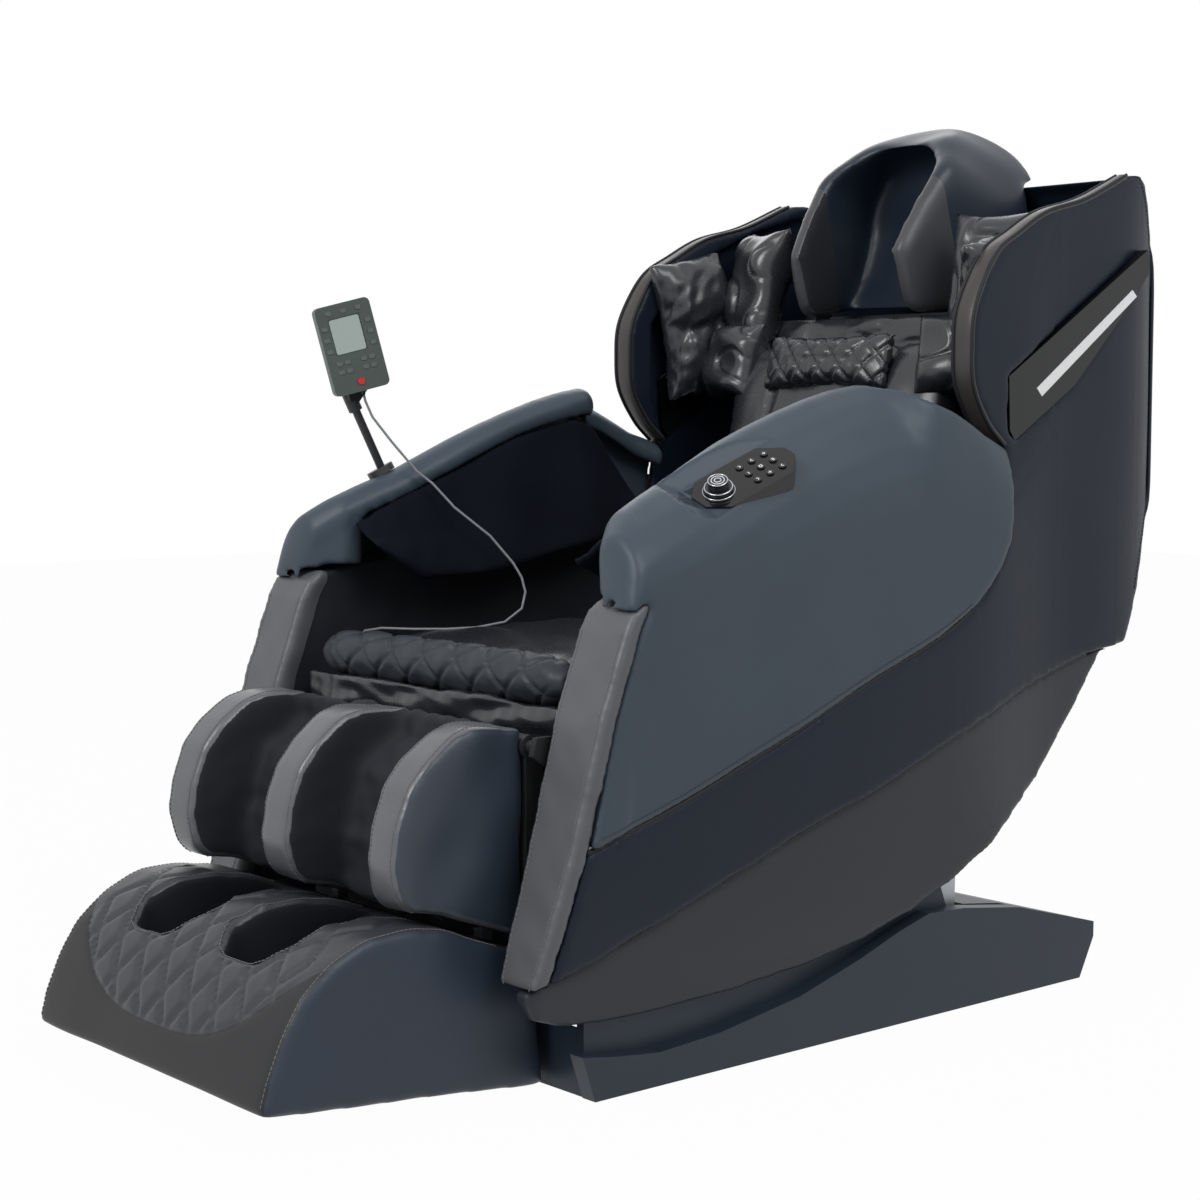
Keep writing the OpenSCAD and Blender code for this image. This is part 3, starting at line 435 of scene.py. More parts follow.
seam = outline([[-405, 313], [-264, 353], [-104, 411], [86, 483], [212, 529], [276, 563],
                [321, 601], [348, 650], [358, 725]])
step = outline([[-449, 160], [-409, 169], [-236, 227], [-59, 289], [129, 348], [237, 387],
                [405, 440], [562, 478], [657, 487]])
rear = outline([[657, 487], [699, 570], [722, 631], [757, 721], [781, 812], [787, 874],
                [775, 937], [763, 981], [741, 1054], [719, 1117], [698, 1155], [680, 1168],
                [637, 1164]])
wing = outline([[637, 1164], [541, 1125], [452, 1102], [387, 1070], [346, 1047], [317, 1013],
                [291, 963], [286, 915], [291, 862], [322, 812], [358, 780]])
front = outline([[-476, 156], [-432, 304], [-391, 460], [-352, 566], [-338, 590]])
side_names = {1: "left", -1: "right"}


def on_flank(line, side, sink=0.0):
    """A line of the side view, laid on the flank on that side of the chair."""
    line = smooth_line(line, 0.006)
    x = half_width(line[:, 0], line[:, 1]) - sink
    return np.column_stack([side * x, line])


stitch_sizes = {"Pitch": 0.0062, "Stitch length": 0.0044, "Thread radius": 0.0007}


def piping(name, line, radius):
    """A welt of seam leather along a line of the capsule."""
    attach(tube(name, line, radius, seam_leather), "capsule")


def face_out(made, merge=0.0):
    """Turns a piece's faces outwards, after points closer than merge have become one."""
    work = bmesh.new()
    work.from_mesh(made.data)
    if merge:
        bmesh.ops.remove_doubles(work, verts=work.verts, dist=merge)
    bmesh.ops.recalc_face_normals(work, faces=work.faces)
    work.to_mesh(made.data)
    work.free()


def thread_tree():
    """A row of stitches along a curve: pitch, stitch length and thread thickness as inputs."""
    tree = bpy.data.node_groups.new("stitch row", "GeometryNodeTree")
    face = tree.interface
    face.new_socket("Path", in_out="INPUT", socket_type="NodeSocketGeometry")
    for label, size in stitch_sizes.items():
        face.new_socket(label, in_out="INPUT", socket_type="NodeSocketFloat").default_value = size
    face.new_socket("Thread", in_out="INPUT", socket_type="NodeSocketMaterial")
    face.new_socket("Stitches", in_out="OUTPUT", socket_type="NodeSocketGeometry")
    given, result = tree.nodes.new("NodeGroupInput"), tree.nodes.new("NodeGroupOutput")
    spots = tree.nodes.new("GeometryNodeCurveToPoints")
    spots.mode = "LENGTH"
    turn = tree.nodes.new("FunctionNodeAlignRotationToVector")
    turn.axis = "Z"
    one = tree.nodes.new("GeometryNodeMeshCylinder")
    one.inputs["Vertices"].default_value = 6
    put = tree.nodes.new("GeometryNodeInstanceOnPoints")
    real = tree.nodes.new("GeometryNodeRealizeInstances")
    dye = tree.nodes.new("GeometryNodeSetMaterial")
    for a, out, b, into in ((given, "Path", spots, "Curve"), (given, "Pitch", spots, "Length"),
                            (given, "Stitch length", one, "Depth"),
                            (given, "Thread radius", one, "Radius"),
                            (spots, "Tangent", turn, "Vector"), (spots, "Points", put, "Points"),
                            (one, "Mesh", put, "Instance"), (turn, "Rotation", put, "Rotation"),
                            (put, "Instances", real, "Geometry"),
                            (real, "Geometry", dye, "Geometry"),
                            (given, "Thread", dye, "Material"),
                            (dye, "Geometry", result, "Stitches")):
        tree.links.new(a.outputs[out], b.inputs[into])
    return tree


stitching = thread_tree()
pale_thread = plastic("grey thread", (104, 106, 110), 0.7, 0.3, 0.2, 0.3)
dark_thread = plastic("dark thread", (58, 62, 70), 0.7, 0.3, 0.2, 0.3)


def snap(line, made, lift=0.0004):
    """Moves each point of a line onto the skin of a piece."""
    tree = BVHTree.FromObject(made, bpy.context.evaluated_depsgraph_get())
    out = []
    for q in line:
        spot, normal, _, _ = tree.find_nearest(Vector(q))
        out.append(np.array(spot + normal * lift))
    return np.array(out)


def sew(name, lines, body, thread):
    """Rows of stitches along the lines, as one piece that rides on a body."""
    curve = bpy.data.curves.new(name, "CURVE")
    curve.dimensions = "3D"
    for line in lines:
        row = curve.splines.new("POLY")
        row.points.add(len(line) - 1)
        row.points.foreach_set("co", np.column_stack([line, np.ones(len(line))]).ravel())
    made = bpy.data.objects.new(name + "_path", curve)
    scene.collection.objects.link(made)
    rows = made.modifiers.new("stitches", "NODES")
    rows.node_group = stitching
    given = {**stitch_sizes, "Thread": thread}
    for item in stitching.interface.items_tree:
        if item.in_out == "INPUT" and item.name in given:
            rows[item.identifier] = given[item.name]
    seen_by = bpy.context.evaluated_depsgraph_get()
    mesh = bpy.data.meshes.new_from_object(made.evaluated_get(seen_by))
    bpy.data.objects.remove(made)
    sewn = bpy.data.objects.new(name, mesh)
    scene.collection.objects.link(sewn)
    if not len(mesh.materials):
        mesh.materials.append(thread)
    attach(sewn, body)


panel_at = np.array([0.342, -0.116, 0.746])
tip, lean = math.radians(27), math.radians(23)
panel_turn = np.array([
    [math.cos(lean), math.sin(lean) * math.sin(tip), math.sin(lean) * math.cos(tip)],
    [0, math.cos(tip), -math.sin(tip)],
    [-math.sin(lean), math.cos(lean) * math.sin(tip), math.cos(lean) * math.cos(tip)]])
panel_half = (0.036, 0.074)
crest_mm = [(-391, 460), (-346, 580), (-327, 678), (-294, 704), (-248, 724), (-202, 742),
            (-110, 784)]
crest_x_mm = [(-432, 388), (-391, 388), (-346, 375), (-327, 345), (-290, 315), (-200, 297),
              (-100, 290)]


def nose_filling(work):
    """The solid foam nose at the front of the arm, under the leather between lip and flank,
    and the small block of foam that squares the lower front corner of the flank."""
    flank_x, lip_deep = 389, 34
    rings = []
    for y in np.linspace(-334, -262, 13):
        top = float(np.interp(y, *zip(*crest_mm)))
        middle = float(np.interp(y, *zip(*crest_x_mm)))
        low = 607.0 if y < -312 else 612.0
        ring = []
        for z in np.linspace(low, top - 3, 8):
            t = min(1.0, max(0.0, (top - z) / (top - 560)))
            ring.append((middle + (flank_x - middle) * (1 - (1 - t) ** 5), y, z))
        ring += [(middle - 6, y, top - 1), (middle - 22, y, top - 4),
                 (middle - lip_deep, y, max(low + 4, top - 20)), (middle - lip_deep, y, low)]
        rings.append([work.verts.new((-x / 1000, v / 1000, z / 1000)) for x, v, z in ring])
    count = len(rings[0])
    faces = [work.faces.new([a[k], a[(k + 1) % count], b[(k + 1) % count], b[k]])
             for a, b in zip(rings, rings[1:]) for k in range(count)]
    faces += [work.faces.new(rings[0][::-1]), work.faces.new(rings[-1])]
    corner = [(-0.4015, 0.3165), (-0.350, 0.3315), (-0.340, 0.470), (-0.3635, 0.470)]
    inner, outer = ([work.verts.new((-x, y, z)) for y, z in corner] for x in (0.372, 0.3895))
    faces += [work.faces.new(inner[::-1]), work.faces.new(outer)]
    faces += [work.faces.new([inner[k], inner[(k + 1) % 4], outer[(k + 1) % 4], outer[k]])
              for k in range(4)]
    bmesh.ops.recalc_face_normals(work, faces=faces)


def bed_panel(arm):
    """Sinks the arm leather round the control panel, so that the panel lies in a soft bed."""
    p = read(arm)
    local = (p - panel_at) @ panel_turn
    beyond = np.maximum((np.abs(local[:, :2]) - panel_half).max(axis=1), 0)
    bed_depth, bank_slope, bank_wide = 0.003, 0.55, 0.03
    limit = bank_slope * beyond - bed_depth
    near = (beyond < bank_wide) & (local[:, 2] > limit) & (local[:, 2] < 2 * bank_wide)
    local[near, 2] = limit[near]
    write(arm, local @ panel_turn.T + panel_at)


def paint_on(made, name, values):
    """Stores a number at each point of a piece for its material to read."""
    mark = made.data.attributes.new(name, "FLOAT", "POINT")
    mark.data.foreach_set("value", np.asarray(values, np.float32))


# The left arm's leather is the right one's mirror image, with a bed for the control panel.
for side, word in side_names.items():
    arm = soft_copy(f"arm_leather_{word}", slate_leather, 0.0045, 10, f"arm_panel_{word}",
                    filling=nose_filling, form="arm_panel_right")
    fullness(arm, 0.0012, 0.24, 3)
    if side > 0:
        write(arm, read(arm) * np.array([-1, 1, 1]))
        arm.data.flip_normals()
        bed_panel(arm)

    flank = soft_copy(f"side_leather_{word}", navy_leather, 0.005, 7, f"side_shell_{word}")
    fair_flank(flank)
    fullness(flank, 0.0008, 0.3, 5)

    under = soft_copy(f"lower_leather_{word}", grey_leather, 0.005, 7, f"lower_shell_{word}")
    fair_flank(under)

    piping(f"arm_seam_welt_{word}", on_flank(seam, side, 0.0045), 0.0034)
    piping(f"stripe_seam_welt_{word}", on_flank(step[:-1], side, 0.009), 0.0036)
    rows = [snap(on_flank(seam + np.array([[-0.004, 0.011]]), side), arm),
            snap(on_flank(rear[1:] - np.array([[0.016, 0.002]]), side), flank)]
    sew(f"side_stitches_{word}", rows, "capsule", dark_thread)

soft_copy("back_leather", navy_leather, 0.006, 8, "back_shell")
soft_copy("belly_leather", grey_leather, 0.006, 6, "belly_panel")

# ---- Wing rims, housings and light bars ----
# The front edge of each wing is a rolled band of brownish leather between two piped seams.
# On each flank a gloss black bevelled housing carries a slim white diffuser bar.
rim_leather = hide("brown rim leather", (58, 54, 53), 0.4, 0.5, 0.4)
wing_inner = 0.330
turns = 13
for side, word in side_names.items():
    edge = smooth_line(wing, 0.008)
    ahead = np.gradient(edge, axis=0)
    ahead /= np.linalg.norm(ahead, axis=1)[:, None]
    out_of = np.column_stack([-ahead[:, 1], ahead[:, 0]])
    if out_of[len(edge) // 2][0] > 0:
        out_of = -out_of
    wide = half_width(edge[:, 0], edge[:, 1])
    verts, faces = [], []
    for q, o, w in zip(edge, out_of, wide):
        mid, reach = (w + wing_inner) / 2, (w - wing_inner) / 2
        for k in range(turns):
            a = math.pi * k / (turns - 1)
            bulge = 0.0065 * math.sin(a) ** 0.6 - 0.004
            verts.append((side * (mid - reach * 0.96 * math.cos(a)),
                          q[0] + o[0] * bulge, q[1] + o[1] * bulge))
        verts.append((side * mid, q[0] - o[0] * 0.012, q[1] - o[1] * 0.012))
    ring = turns + 1
    for i in range(len(edge) - 1):
        a, b = i * ring, (i + 1) * ring
        faces += [(a + k, a + (k + 1) % ring, b + (k + 1) % ring, b + k) for k in range(ring)]
    faces += [tuple(range(ring))[::-1], tuple(range((len(edge) - 1) * ring, len(edge) * ring))]
    rim = add(f"wing_rim_{word}", verts, faces, rim_leather)
    face_out(rim)
    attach(rim, "capsule")
    for label, x in (("outer", wide - 0.001), ("inner", np.full(len(edge), wing_inner + 0.0015))):
        piping(f"wing_piping_{label}_{word}",
               np.column_stack([side * x, edge + out_of * 0.001]), 0.0026)

gloss = plastic("gloss black housing", (14, 16, 19), 0.12, 0.01, 0.1, 0.3, coat=0.15)
diffuser = plastic("white diffuser", (236, 238, 240), 0.35, 0.03, 0.02)


def dress(finish, *cad):
    """Gives a rigid CAD part its finish."""
    for node in cad:
        mesh = nodes[node].data
        if not len(mesh.materials):
            mesh.materials.append(finish)
        for place in nodes[node].material_slots:
            place.material = finish


dress(gloss, "wing_housing_left", "wing_housing_right")
dress(diffuser, "light_bars")

# ---- Arm boxes and arm airbag leaves ----
# Each arm box is one padded cover: the front strip with a stitched edge down both sides, the
# wall beside the seat and the shelf under the forearm. A black fabric leaf hangs over it.
night = linear(9, 13, 22)


def cloth(strength=0.35, pitch=1150, rough=0.82):
    """Tightly woven fabric: crossing yarns, lint and slow fading."""
    def build(base, place, colour):
        part = base.node("ShaderNodeSeparateXYZ", None, {0: place})
        y = Wire(base.tree, part.socket.node.outputs["Y"])
        z = Wire(base.tree, part.socket.node.outputs["Z"])
        over = base.sum("SINE", (part + z) * pitch)
        under = base.sum("SINE", (y + z) * pitch)
        lint = base.noise(place, 260, 4)
        fade = base.noise(place, 8, 3)
        bump = base.node("ShaderNodeBump", None, {"Strength": strength, "Distance": 0.0005,
                                                  "Height": over * under * 0.5 + lint})
        return {"Base Color": fade.blend(tint(colour, 0.8), tint(colour, 1.25)),
                "Roughness": rough + 0.1 * (lint - 0.5), "Normal": bump}
    return build


black_fabric = finish_of("black fabric", night, 0.82, 0.08, build=cloth())
box_leather = hide("arm box leather", (84, 86, 90), 0.4, 0.5, 0.42, [("wall", night, 0.8)])
strip_deep, strip_inner = 0.030, 0.318
for side, word in side_names.items():
    box = soft_copy(f"arm_box_leather_{word}", box_leather, 0.0045, 8, f"arm_box_{word}")
    p = read(box)
    behind = p[:, 1] - np.interp(p[:, 2], front[:, 1], front[:, 0]) - strip_deep
    paint_on(box, "wall", np.minimum(behind * 1000, (strip_inner - np.abs(p[:, 0])) * 1000))
    fullness(box, 0.0007, 0.05, 8)
    rows = []
    for x in (0.3065, 0.3815):
        edge = smooth_line(front[:-1], 0.006)
        wide = np.minimum(x, half_width(edge[:, 0], edge[:, 1]) - 0.009)
        rows.append(snap(np.column_stack([side * wide, edge + [-0.003, 0]]), box))
    sew(f"front_strip_stitches_{word}", rows, "capsule", pale_thread)

    leaf = soft_copy(f"arm_leaf_fabric_{word}", black_fabric, 0.0045, 10, f"arm_leaf_{word}")
    fullness(leaf, 0.0035, 0.16, 11)

# ---- Seat: cushion, quilted roll and apron ----
# A foam cushion in soft black leather, a stuffed roll with diamond quilting at its front edge
# and a loosely gathered apron below. The cushion and roll are sewn bags, stuffed and laid in.


def swell(made, pressure, most, frames=20):
    """Blows the piece up as a sewn bag, then keeps every point within most of where it was."""
    before = read(made)
    puff = made.modifiers.new("air", "CLOTH")
    puff.settings.use_pressure = True
    puff.settings.uniform_pressure_force = pressure
    puff.settings.effector_weights.gravity = 0
    puff.settings.quality = 4
    puff.settings.tension_stiffness = puff.settings.compression_stiffness = 12
    puff.settings.bending_stiffness = 0.4
    puff.point_cache.frame_start, puff.point_cache.frame_end = 1, frames
    for f in range(1, frames + 1):
        scene.frame_set(f)
        bpy.context.view_layer.update()
    bake(made)
    scene.frame_set(1)
    move = read(made) - before
    far = np.linalg.norm(move, axis=1)
    write(made, before + move * np.minimum(1, most / np.maximum(far, 1e-9))[:, None])


def round_off(made, rounds):
    """Softens a skin once more and settles it."""
    ease = made.modifiers.new("ease", "SMOOTH")
    ease.factor, ease.iterations = 0.5, rounds
    bake(made)


seat = soft_copy("seat_leather", dark_leather, 0.008, 4, "seat_cushion")
swell(seat, 4, 0.010)
round_off(seat, 2)
fullness(seat, 0.002, 0.09, 21)



def diamonds(across, along, pitch):
    """How far each place is from the nearest line of a diamond pattern of that pitch."""
    return pitch * np.minimum(*(np.abs((((across + s * along) / pitch) % 1) - 0.5)
                                for s in (1, -1)))


roll = soft_copy("seat_roll_leather", grey_leather, 0.0032, 3, "seat_roll")
p, n = skin_of(roll)
roll_y, roll_z, roll_radius = -0.328, 0.4953, 0.033
around = np.arctan2(p[:, 1] - roll_y, p[:, 2] - roll_z) * roll_radius
inside = np.clip((0.25 - np.abs(p[:, 0])) / 0.02, 0, 1)
puffed = 0.0035 * (1 - np.exp(-(diamonds(p[:, 0] + 0.01, around, 0.0691) / 0.0045) ** 2)) - 0.0022
write(roll, p + n * (puffed * inside + 0.0006 * ripple(p, 0.03, 4))[:, None])

apron = soft_copy("seat_apron_leather", dark_leather, 0.0045, 5, "front_apron")
p, n = skin_of(apron)
folds = ripple(p * [0.45, 1, 2.2], 0.07, 17) * 0.004 + ripple(p, 0.03, 9) * 0.0012
write(apron, p + n * folds[:, None])

# ---- Back: cushion, neck pad and shoulder airbags ----
# A tall thin leather cushion hangs over the massage track. A small diamond quilted pad is sewn
# to it at the neck, and a leather airbag is fixed to the inside of each wing.
lean_back = math.radians(16)


def to_back(p):
    """Points of the chair as across, out of and up the leaning back."""
    q = p - [0, 0.345, 0.440]
    c, s = math.cos(lean_back), math.sin(lean_back)
    return np.column_stack([q[:, 0], c * q[:, 1] - s * q[:, 2], s * q[:, 1] + c * q[:, 2]])


cushion = soft_copy("back_cushion_leather", dark_leather, 0.007, 3, "back_cushion")
swell(cushion, 4, 0.008)
round_off(cushion, 1)
p, n = skin_of(cushion)
local = to_back(p)
channel_x, channel_up, channel_wide = 0.11, 0.24, 0.010
tuck = (np.exp(-((np.abs(local[:, 0]) - channel_x) / channel_wide) ** 2)
        + np.exp(-((local[:, 2] - channel_up) / channel_wide) ** 2))
write(cushion, p - n * (0.007 * np.minimum(tuck, 1) - 0.002 * ripple(p, 0.08, 31))[:, None])

neck = soft_copy("neck_pad_leather", dark_leather, 0.0032, 6, "neck_pad")
swell(neck, 4, 0.006)
round_off(neck, 2)
p, n = skin_of(neck)
local = to_back(p)
lines = diamonds(local[:, 0], local[:, 2], 0.042)
write(neck, p - n * (0.0045 * np.exp(-(lines / 0.0032) ** 2) - 0.001)[:, None])

for side, word in side_names.items():
    bag = soft_copy(f"shoulder_airbag_leather_{word}", dark_leather, 0.0048, 8,
                    f"shoulder_airbag_{word}")
    swell(bag, 4, 0.010)
    round_off(bag, 2)
    p, n = skin_of(bag)
    creases = (0.006 * np.abs(ripple(p * [1, 1, 0.5], 0.09, 41)) ** 0.5
               + 0.0015 * ripple(p, 0.03, 42))
    free = np.clip((0.325 - np.abs(p[:, 0])) / 0.012, 0, 1)
    write(bag, p + n * ((creases - 0.004) * free)[:, None])


def pillow(name, centre, across, up, wide, tall, thick, folds, seed):
    """A sewn leather bag: two faces crowned between its seams, gathered into folds."""
    across = np.array(across, float) / np.linalg.norm(across)
    up = np.array(up, float)
    up = up - across * (up @ across)
    up /= np.linalg.norm(up)
    out = np.cross(across, up)
    count = 45
    u, v = np.meshgrid(np.linspace(-1, 1, count), np.linspace(-1, 1, count), indexing="ij")
    full = np.sqrt(np.clip((1 - u ** 4) * (1 - v ** 4), 0, 1))
    pull = 1 - 0.10 * (1 - u ** 2) * np.abs(v) ** 3 - 0.06 * (1 - v ** 2) * np.abs(u) ** 3
    flat = (np.array(centre) + (u * pull * wide / 2)[..., None] * across
            + (v * pull * tall / 2)[..., None] * up)
    wave = ripple(flat.reshape(-1, 3), folds, seed).reshape(count, count)
    crown = full * thick / 2 * (1 + 0.28 * wave) - 0.006 * full * np.exp(-(wave / 0.12) ** 2)
    verts = [v for s in (1, -1) for v in (flat + s * crown[..., None] * out).reshape(-1, 3)]
    faces = []
    for i in range(count - 1):
        for j in range(count - 1):
            a = i * count + j
            faces.append((a, a + count, a + count + 1, a + 1))
            faces.append(tuple(count * count + k for k in (a, a + 1, a + count + 1, a + count)))
    made = add(name, verts, faces, dark_leather)
    face_out(made, merge=1e-6)
    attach(made, "capsule")


# One pad lies across the back above the cushion, and two gathered lobes fill each corner
# between the hood, the wing and the cushion.
pillow("upper_back_pad", (0, 0.478, 0.930), (1, 0, 0), (0, 0.2756, 0.961),
       0.60, 0.085, 0.034, 0.13, 71)
for side, word in side_names.items():
    turned_in, upright = (1, side * 0.35, 0), (0, 0.25, 1)
    pillow(f"neck_lobe_{word}", (side * 0.242, 0.480, 1.020), turned_in, upright,
           0.135, 0.190, 0.075, 0.10, 73)
    pillow(f"neck_lobe_low_{word}", (side * 0.235, 0.425, 0.905), turned_in, upright,
           0.150, 0.120, 0.070, 0.09, 74)

# ---- Headrest hood ----
# A deep padded hood hinged on top of the back: slate leather over foam outside, a rolled grey
# leather rim and a dark fabric lining. The panels are sewn edge to edge round the rim.
hood_leather = hide("hood leather", (62, 63, 68), 0.4, 0.5, 0.36, [
    ("lining", linear(24, 26, 33), 0.85), ("crown", linear(28, 38, 51), 0.38)])
hood = soft_copy("hood_leather", hood_leather, 0.0052, 64, "headrest_hood",
                 "headrest")
p, n = skin_of(hood)
head_at = np.array([0, 0.49, 1.07])
inward = head_at - p
inward /= np.linalg.norm(inward, axis=1)[:, None]
paint_on(hood, "lining", ((n * inward).sum(axis=1) - 0.42) * 12)
paint_on(hood, "crown", (p[:, 1] - 0.505 + 0.25 * (p[:, 2] - 1.1)) * 400)
fullness(hood, 0.0016, 0.12, 51)

# ---- Controls on the left arm ----
# A gloss black moulded panel with a ringed turning knob and nine small dark keys. The knob has
# bright trim rings; each key carries a plain printed sign of a few strokes.
panel_gloss = plastic("panel gloss", (14, 14, 16), 0.14, 0.01, 0.1, 0.3, coat=0.15)
knob_dark = plastic("knob black", (26, 27, 30), 0.3, 0.03, 0.1)
bright = plastic("bright trim", (190, 193, 198), 0.18, 0.02, 0.05, metal=1.0)
key_dark = plastic("key black", (20, 21, 24), 0.3, 0.03, 0.1)
sign_white = plastic("printed white", (225, 228, 232), 0.5, 0.02, 0.03, 0.4)
dress(panel_gloss, "control_panel")
dress(knob_dark, "control_knob")


def on_panel(points):
    """Points given across, up and out of the panel, in the chair's own place."""
    return np.asarray(points, float) @ panel_turn.T + panel_at


knob_at = (0.0, -0.042)


def ring_on_panel(name, radius, height, wire, finish, body):
    """A round wire ring about the knob's axis."""
    steps, sides = 48, 8
    verts, faces = [], []
    for a in np.linspace(0, 2 * math.pi, steps + 1)[:-1]:
        for k in range(sides):
            b = 2 * math.pi * k / sides
            r = radius + wire * math.cos(b)
            verts.append((knob_at[0] + r * math.cos(a), knob_at[1] + r * math.sin(a),
                          height + wire * math.sin(b)))
    for i in range(steps):
        a, b = i * sides, (i + 1) % steps * sides
        faces += [(a + k, b + k, b + (k + 1) % sides, a + (k + 1) % sides) for k in range(sides)]
    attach(add(name, on_panel(verts), faces, finish), body)


for label, radius, height, wire, finish in (("foot", 0.0176, 0.0064, 0.0009, bright),
                                            ("rim", 0.0122, 0.0163, 0.0008, bright),
                                            ("middle", 0.0082, 0.0165, 0.0006, sign_white),
                                            ("centre", 0.0042, 0.0165, 0.0006, sign_white)):
    ring_on_panel(f"knob_ring_{label}", radius, height, wire, finish, "control_knob")
ring_on_panel("knob_seat_ring", 0.0202, 0.0006, 0.0008, bright, "capsule")

# The strokes of each sign, from end to end, in half sign widths.
signs = {"bar": [(-1, 0, 1, 0)], "cross": [(-1, 0, 1, 0), (0, -1, 0, 1)],
         "up": [(-1, -0.4, 0, 0.7), (0, 0.7, 1, -0.4)],
         "down": [(-1, 0.4, 0, -0.7), (0, -0.7, 1, 0.4)],
         "equal": [(-1, 0.4, 1, 0.4), (-1, -0.4, 1, -0.4)],
         "square": [(-0.8, -0.8, 0.8, -0.8), (0.8, -0.8, 0.8, 0.8),
                    (0.8, 0.8, -0.8, 0.8), (-0.8, 0.8, -0.8, -0.8)]}
order = ["up", "down", "cross", "bar", "square", "equal", "up", "cross", "down"]
sign_half, stroke_half, stroke_thick = 0.0024, 0.0005, 0.00025
for number, kind in enumerate(order, 1):
    row, col = divmod(number - 1, 3)
    centre = [(row * 18 - 18) / 1000, (col * 20 + 6) / 1000]
    key = f"panel_key_{number}"
    top = max(((np.array(v.co) - panel_at) @ panel_turn)[2] for v in nodes[key].data.vertices)
    dress(key_dark, key)
    verts, faces = [], []
    for x0, y0, x1, y1 in signs[kind]:
        a, b = (np.array(end) * sign_half + centre for end in ((x0, y0), (x1, y1)))
        d = (b - a) / np.linalg.norm(b - a)
        side_step = np.array([-d[1], d[0]]) * stroke_half
        base_at = len(verts)
        for h in (top - 0.0003, top + stroke_thick):
            for q in (a - side_step, b - side_step, b + side_step, a + side_step):
                verts.append((q[0], q[1], h))
        faces += [tuple(base_at + k for k in f)
                  for f in ((3, 2, 1, 0), (4, 5, 6, 7), (0, 1, 5, 4), (1, 2, 6, 5),
                            (2, 3, 7, 6), (3, 0, 4, 7))]
    sign = add(f"key_sign_{number}", on_panel(verts), faces, sign_white, smooth=False)
    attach(sign, key)

# ---- Remote on its pole ----
# A handheld remote in textured grey-green plastic with a pale display window and a red power
# key, held in a cradle on a leaning pole. The pole stands in a socket on the right arm, and a
# short boot at the remote's foot takes the lead.
remote_body = plastic("remote plastic", (64, 74, 70), 0.45, 0.5, 0.2, 0.4)
pole_black = plastic("pole satin black", (36, 37, 40), 0.4, 0.04, 0.1)
display = plastic("display window", (150, 163, 158), 0.12, 0.01, 0.05, coat=0.5)
key_red = plastic("red key", (190, 28, 30), 0.3, 0.03, 0.1)
dress(remote_body, "remote")
dress(pole_black, "remote_cradle", "remote_holder")
dress(key_red, "remote_power_key")
boot_line = [(-.284, -.2574, .8580), (-.284, -.2564, .8547), (-.284, -.2547, .8494)]
boot = tube("remote_lead_boot", boot_line, [0.0036, 0.0032, 0.0025], pole_black, 16)
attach(boot, "remote")
face_turn, face_roll = math.radians(68), math.radians(-14.6)
remote_at = np.array([-0.290, -0.272, 0.916])
turn_z = np.array([[math.cos(face_turn), -math.sin(face_turn), 0],
                   [math.sin(face_turn), math.cos(face_turn), 0], [0, 0, 1]])
turn_y = np.array([[math.cos(face_roll), 0, math.sin(face_roll)], [0, 1, 0],
                   [-math.sin(face_roll), 0, math.cos(face_roll)]])
remote_turn = turn_z @ turn_y


def plate_on_remote(name, x0, z0, x1, z1, lift, corner, finish):
    """A thin rounded plate on the face of the remote, its upper edge eased."""
    face_deep, sunk, ease = 0.010, 0.0012, 0.985
    rim = []
    for cx, cz, start_at in ((x1 - corner, z1 - corner, 0), (x0 + corner, z1 - corner, 90),
                             (x0 + corner, z0 + corner, 180), (x1 - corner, z0 + corner, 270)):
        for k in range(5):
            a = math.radians(start_at + 22.5 * k)
            rim.append((cx + corner * math.cos(a), cz + corner * math.sin(a)))
    verts = [(x * k, -face_deep - h, z)
             for h, k in ((-sunk, 1), (lift * 0.6, 1), (lift, ease)) for x, z in rim]
    count = len(rim)
    faces = [tuple(range(count)), tuple(range(3 * count - 1, 2 * count - 1, -1))]
    for level in (0, count):
        faces += [(level + k, level + count + k, level + count + (k + 1) % count,
                   level + (k + 1) % count) for k in range(count)]
    made = add(name, np.array(verts) @ remote_turn.T + remote_at, faces, finish, smooth=False)
    face_out(made)
    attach(made, "remote")


plate_on_remote("remote_display", -0.0235, -0.0065, 0.0195, 0.0425, -0.0002, 0.003, display)
remote_key = plastic("remote key rubber", (82, 92, 88), 0.55, 0.1, 0.1, 0.4)
spots = ([(x, z) for z in (-0.019, -0.031) for x in (-0.024, -0.012, 0.012, 0.024)]
         + [(x, 0.052) for x in (-0.022, 0.0, 0.022)]
         + [(x, z) for x in (0.0315, -0.0325) for z in (0.0, 0.016, 0.032)])
for number, (x, z) in enumerate(spots, 1):
    plate_on_remote(f"remote_key_{number}", x - 0.0042, z - 0.003, x + 0.0042, z + 0.003,
                    0.0011, 0.0022, remote_key)

